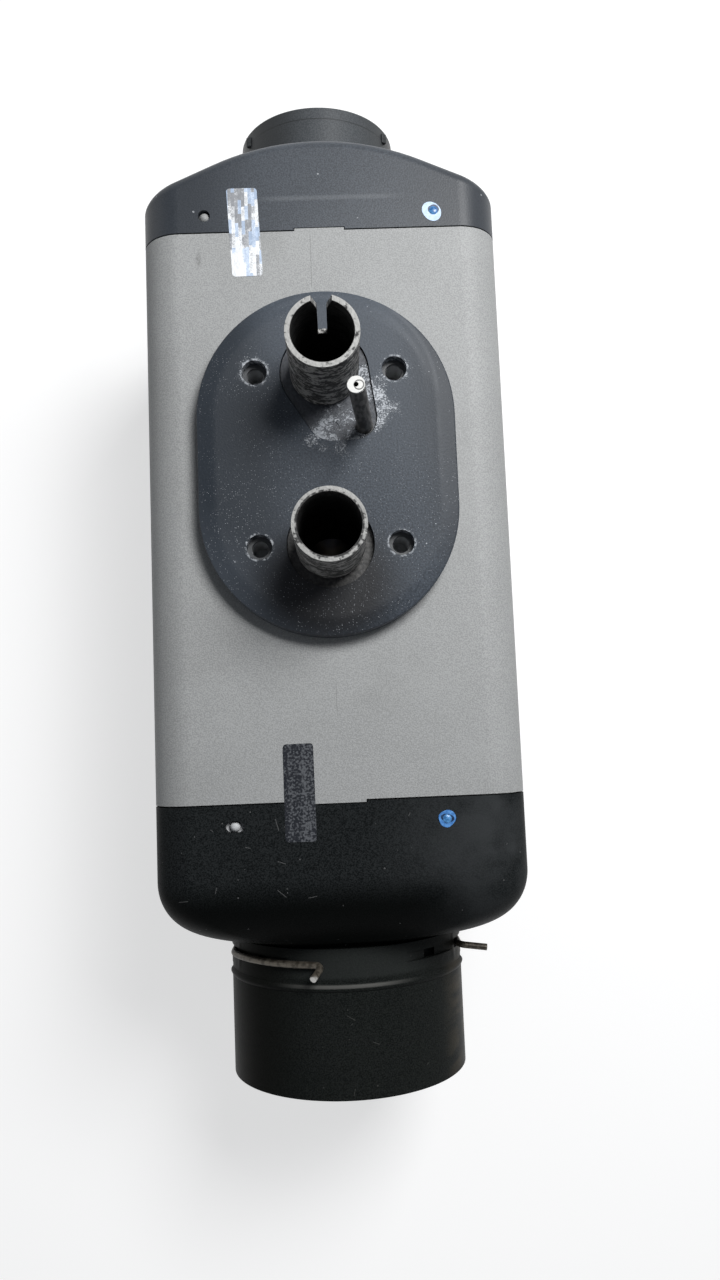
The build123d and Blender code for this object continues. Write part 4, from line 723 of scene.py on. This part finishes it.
def scaled_pipe(name, part, pale, rim, worn_width):
    """Scaled steel, black inside from soot and painted shade, whose rim is worn bright over
    worn_width.
    """
    bore_radius, pipe_radius, soft_edge = 0.0105, 0.0120, 0.0003
    dark, soot_and_shade_black = (0.014, 0.014, 0.014), (0.010, 0.010, 0.010)
    low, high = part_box(part)
    finish, tree, shader = paint(name, dark, 0.58, 0.25)
    spot, _, _, z = place(tree)
    crust = use(tree, pipe_scale, stretch=2.4)
    tone = blend(tree, crust["Pale"], dark, pale)
    out = from_axis(tree, spot, (low.x + high.x) / 2, (low.y + high.y) / 2)
    # Inside the bore the steel is painted black: soot in the exhaust pipe, painted shade in the
    # air pipe.
    inner = fade(tree, out, bore_radius - 0.0002, bore_radius + 0.0002)
    tone = blend(tree, times(tree, inner, 0.92), tone, soot_and_shade_black)
    edge = pipe_radius - worn_width
    bright = times(tree, ramp(tree, z, high.z - 0.0009, high.z - 0.0002),
                   ramp(tree, crust["Height"], 0.37, 0.47),
                   ramp(tree, out, edge, edge + soft_edge))
    dress(tree, shader, blend(tree, bright, tone, rim), crust["Height"], 0.0005)
    return finish


air_steel = scaled_pipe("scaled_air_pipe", "combustion_air_pipe", (0.36, 0.355, 0.345),
                        rim=(0.34, 0.34, 0.33), worn_width=0.0018)
exhaust_steel = scaled_pipe("scaled_exhaust_pipe", "exhaust_pipe", (0.34, 0.335, 0.325),
                            rim=(0.32, 0.32, 0.31), worn_width=0.0012)
skin_of("combustion_air_pipe", air_steel)
skin_of("exhaust_pipe", exhaust_steel)

# ---------------------------------------------------------------- fuel pipe
# Thin drawn steel tube from the evaporator, bent a little where it leaves the foot.
# Its sawn end is bright round the small bore; the outside is dull.
fuel_steel, tree, shader = paint("drawn_fuel_tube", (0.12, 0.11, 0.10), 0.45, 0.4)
spot, _, _, z = place(tree)
drawn = node(tree, "Mapping", {"Vector": spot, "Scale": (1.0, 1.0, 0.3)}).outputs[0]
marks = ramp(tree, noise(tree, drawn, per_metre=800.0, detail=3.0), 0.38, 0.62)
dull = blend(tree, marks, (0.040, 0.038, 0.036), (0.15, 0.145, 0.14))
fuel_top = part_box("fuel_pipe")[1].z
tube = frame["nodes"]["fuel_pipe"].data
end_rim = [vert.co for vert in tube.vertices if vert.co.z > fuel_top - 0.0003]
end_x, end_y = ((min(side) + max(side)) / 2
                for side in ([point.x for point in end_rim], [point.y for point in end_rim]))
off_end = apart(tree, spot, (end_x, end_y, fuel_top))
ring_dark = stripe(tree, off_end, 0.00150, half=0.00010, soft=0.00020)
sawn_bright, ring_grey = (0.72, 0.72, 0.70), (0.05, 0.05, 0.05)
sawn = blend(tree, times(tree, ring_dark, 0.85), sawn_bright, ring_grey)
at_end = ramp(tree, z, fuel_top - 0.0012, fuel_top - 0.0007)
dress(tree, shader, blend(tree, at_end, dull, sawn))
skin_of("fuel_pipe", fuel_steel)

# ---------------------------------------------------------------- foil stickers
# Two narrow foil seals across the joints, left bare: a silver one on the cap and a dark one on
# the hood. They are thin film, stuck down, with slightly rounded corners.
casing_face = 0.1320


def film(name, outline, finish, low, high, round_off=0.0):
    """A thin flat piece on the flange side, with its underside and top at low and high.

    The outline's points are x and y in mm from the bolt pattern's centre.
    """
    sheet = bmesh.new()
    ring = [sheet.verts.new((px / 1000, flange_y + py / 1000, low)) for px, py in outline]
    sheet.faces.new(ring)
    if round_off:
        bmesh.ops.bevel(sheet, geom=sheet.verts[:], offset=round_off, offset_type="OFFSET",
                        affect="VERTICES", segments=4, profile=0.5, material=-1)
        bmesh.ops.recalc_face_normals(sheet, faces=sheet.faces)
        if sheet.faces[:][0].normal.z < 0:
            bmesh.ops.reverse_faces(sheet, faces=sheet.faces)
    raised = bmesh.ops.extrude_face_region(sheet, geom=sheet.faces[:])
    lifted = [part for part in raised["geom"] if isinstance(part, bmesh.types.BMVert)]
    bmesh.ops.translate(sheet, verts=lifted, vec=(0, 0, high - low))
    bmesh.ops.recalc_face_normals(sheet, faces=sheet.faces)
    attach(piece_of(name, sheet, finish), "heater")


silver_foil, tree, shader = paint("silver_foil", (0.50, 0.52, 0.56), 0.34, 0.25)
spot, x, y = place(tree)[:3]
bars_per_metre, rows_per_metre, bar_lean = 820.0, 190.0, 0.042
bars = {"Vector": spot, "Rotation": (0.0, 0.0, bar_lean), "Scale": (bars_per_metre, 1.0, 1.0)}
upright = node(tree, "Mapping", bars).outputs[0]
bar = maths(tree, "FLOOR", node(tree, "SeparateXYZ", {0: upright}).outputs[0])
shift = node(tree, "TexWhiteNoise", {"W": bar}, noise_dimensions="1D").outputs[0]
row = plus(tree, times(tree, y, rows_per_metre), times(tree, shift, 7.0))
row = maths(tree, "FLOOR", row)
cell = node(tree, "CombineXYZ", {0: bar, 1: row}).outputs[0]
patch = node(tree, "TexWhiteNoise", {0: cell}, noise_dimensions="3D").outputs
creases = noise(tree, spot, per_metre=420.0, detail=3.0)
fleck = minus(tree, noise(tree, spot, per_metre=2600.0, detail=1.0), 0.5)
# Painted reflections: the foil's bars, its brighter lower part and a glare at its lower corner
# stand in for the light it mirrors.
lower_corner_glare = times(tree, stripe(tree, y, flange_y + 0.0720, half=0.0050, soft=0.0050),
                     fade(tree, x, -0.0285, -0.0265))
lit = plus(tree, patch["Value"], times(tree, minus(tree, flange_y + 0.092, y), 14.0),
           times(tree, minus(tree, creases, 0.5), 0.9), times(tree, lower_corner_glare, 1.6),
           times(tree, fleck, 1.1))
dull_silver, bright_silver = (0.30, 0.31, 0.33), (0.90, 0.92, 0.94)
blue_glint = (0.46, 0.60, 0.82)
tone = blend(tree, ramp(tree, lit, 0.25, 1.05), dull_silver, bright_silver)
chance = node(tree, "SeparateColor", {0: patch["Color"]}).outputs[2]
blue_from, blue_share = 0.62, 0.62
blue = times(tree, maths(tree, "GREATER_THAN", chance, blue_from), blue_share)
blue = times(tree, blue, fade(tree, lit, 1.3, 1.6))
dress(tree, shader, blend(tree, blue, tone, blue_glint), creases, 0.0002)
silver_corners = [(-33.4, 103.6), (-22.3, 103.6), (-20.9, 70.2), (-31.9, 70.0)]
foil = {"low": casing_face + 0.00002, "high": casing_face + 0.00014, "round_off": 0.0012}
film("silver_seal", silver_corners, silver_foil, **foil)

dark_foil, tree, shader = paint("dark_foil", (0.030, 0.032, 0.036), 0.35, gloss=0.2)
spot, x = place(tree)[:2]
bars_per_metre = 620.0
bar = maths(tree, "FLOOR", times(tree, x, bars_per_metre))
bar_tone = node(tree, "TexWhiteNoise", {"W": bar}, noise_dimensions="1D").outputs[0]
fibres = noise(tree, spot, per_metre=1300.0)
streaks = plus(tree, times(tree, bar_tone, 0.14), times(tree, fibres, 0.9))
film_black, film_grey = (0.018, 0.020, 0.025), (0.104, 0.110, 0.120)
dress(tree, shader, blend(tree, ramp(tree, streaks, 0.46, 0.66), film_black, film_grey))
dark_corners = [(-19.2, -98.6), (-8.7, -98.5), (-8.5, -132.0), (-19.2, -131.9)]
film("dark_seal", dark_corners, dark_foil, **foil)

# ---------------------------------------------------------------- paint dabs
# The two right-hand nubs carry a dab of blue inspection paint: pale round the cap's hole, stronger
# on the hood. It was put on with a brush, so its edge is uneven, and it has filled the hole dark.


def brushed(name, thin, thick, roughness):
    """Brushed paint between a thin and a thick tone."""
    finish, tree, shader = paint(name, thick, roughness)
    strokes = ramp(tree, noise(tree, place(tree)[0], per_metre=900.0), 0.38, 0.62)
    dress(tree, shader, blend(tree, strokes, thin, thick))
    return finish


pale_blue = brushed("pale_blue_paint", (0.46, 0.60, 0.80), (0.56, 0.70, 0.88), 0.45)
mid_blue = brushed("mid_blue_paint", (0.040, 0.17, 0.46), (0.10, 0.30, 0.66), 0.40)
deep_blue = brushed("deep_blue_paint", (0.004, 0.018, 0.055), (0.010, 0.040, 0.11), 0.35)
wet_blue = brushed("wet_blue_paint", (0.030, 0.13, 0.33), (0.10, 0.30, 0.60), 0.25)


def brushed_ring(cx, cy, long, across, lean, seed):
    """An egg-shaped outline in mm with an uneven edge, long along the lean angle."""
    waves, steps, smallest, largest = 9, 36, 0.92, 1.06
    rough = random.Random(seed)
    wave = [rough.uniform(smallest, largest) for _ in range(waves)]
    ring = []
    for step in range(steps):
        angle = step * math.tau / steps
        first, share = int(angle / math.tau * waves) % waves, angle / math.tau * waves % 1
        size = wave[first] * (1 - share) + wave[(first + 1) % waves] * share
        u = math.cos(angle) * long / 2 * size
        v = math.sin(angle) * across / 2 * size
        ring.append((cx + u * math.cos(lean) - v * math.sin(lean),
                     cy + u * math.sin(lean) + v * math.cos(lean)))
    return ring


def dome(name, cx, cy, reach, rise, finish):
    """A low bead of wet paint over a nub; x and y in mm from the bolt pattern's centre."""
    bead = bmesh.new()
    bmesh.ops.create_uvsphere(bead, u_segments=24, v_segments=12, radius=reach / 1000)
    bmesh.ops.scale(bead, verts=bead.verts, vec=(1, 1, rise / reach))
    centre = (cx / 1000, flange_y + cy / 1000, casing_face + 0.00005)
    bmesh.ops.translate(bead, verts=bead.verts, vec=centre)
    for face in bead.faces:
        face.smooth = True
    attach(piece_of(name, bead, finish), "heater")


dab = {"low": casing_face + 0.00001, "high": casing_face + 0.00013}
filled_hole = {"low": casing_face + 0.00005, "high": casing_face + 0.00016}
film("cap_paint", brushed_ring(41.4, 92.9, 8.2, 6.4, -0.95, 4), pale_blue, **dab)
film("cap_paint_hole", brushed_ring(42.0, 93.5, 4.2, 3.8, 0.0, 7), deep_blue, **filled_hole)
dome("cap_paint_bead", 41.9, 93.1, 1.65, 0.55, wet_blue)
film("hood_paint", brushed_ring(36.4, -126.0, 6.2, 5.8, 0.6, 9), mid_blue, **dab)
film("hood_paint_hole", brushed_ring(36.5, -125.9, 4.9, 2.9, -0.2, 3), deep_blue, **filled_hole)
dome("hood_paint_bead", 36.4, -126.2, 1.6, 0.55, wet_blue)

# ---------------------------------------------------------------- floor, light and camera
# A plain pale floor under the heater's back, one soft light high on the right and a dim room
# round it. The camera stands where the photograph was taken, above the flange and a little
# towards the outlet.


def seen_rays(tree):
    """1 for the rays that make up the picture, 0 for those that only carry light."""
    path = node(tree, "LightPath").outputs
    mirrored = most(tree, path["Is Glossy Ray"], path["Is Transmission Ray"])
    return most(tree, path["Is Camera Ray"], mirrored)


floor_white, tree, shader = paint("floor_white", (0.46, 0.46, 0.46), 0.8, gloss=0.1)
unlit, floor_glow = (0.0, 0.0, 0.0), (0.64, 0.64, 0.64)
glow = blend(tree, seen_rays(tree), unlit, floor_glow)
feed(tree, shader.inputs["Emission Color"], glow)
feed(tree, shader.inputs["Emission Strength"], 1.0)
floor_half, floor_top = 4.0, -0.0006
floor_sheet = bmesh.new()
bmesh.ops.create_grid(floor_sheet, x_segments=1, y_segments=1, size=floor_half)
bmesh.ops.translate(floor_sheet, verts=floor_sheet.verts, vec=(0, 0, floor_top))
floor = piece_of("floor", floor_sheet, floor_white)

softbox = bpy.data.lights.new("key", "AREA")
softbox.shape = "RECTANGLE"
softbox.size = softbox.size_y = 0.34
softbox.energy = 7.3
key = bpy.data.objects.new("key", softbox)
key.location = (0.29, 0.34, 0.76)
key_aim = Vector((0, 0, 0.1))
key.rotation_euler = (key_aim - key.location).to_track_quat("-Z", "Y").to_euler()
bpy.context.scene.collection.objects.link(key)

world = bpy.data.worlds.new("room")
world.use_nodes = True
bpy.context.scene.world = world
tree = world.node_tree
backdrop = tree.nodes["Background"]
upward = node(tree, "SeparateXYZ", {0: node(tree, "TexCoord").outputs["Generated"]}).outputs[2]
wall_white, ceiling_grey, dim_light = (1.0, 1.0, 1.0), (0.18, 0.19, 0.21), (0.13, 0.138, 0.150)
room = blend(tree, ramp(tree, upward, 0.35, 0.75), wall_white, ceiling_grey)
feed(tree, backdrop.inputs["Color"], blend(tree, seen_rays(tree), dim_light, room))
feed(tree, backdrop.inputs["Strength"], 1.0)

eye = bpy.data.cameras.new("photo_camera")
eye.sensor_width = 36.0
eye.lens = 27.3965
eye.clip_start = 0.01
camera = bpy.data.objects.new("photo_camera", eye)
# The turn's direction is its axis and its length is its angle, in radians.
turn = Vector((0.0987638, -0.0199591, -0.0387357))
camera.rotation_mode = "QUATERNION"
camera.rotation_quaternion = Quaternion(turn.normalized(), turn.length)
camera.location = (0.0015006, flange_y - 0.0968086, 0.4700572)
bpy.context.scene.collection.objects.link(camera)
bpy.context.scene.camera = camera
bpy.context.scene.view_settings.view_transform = "Standard"
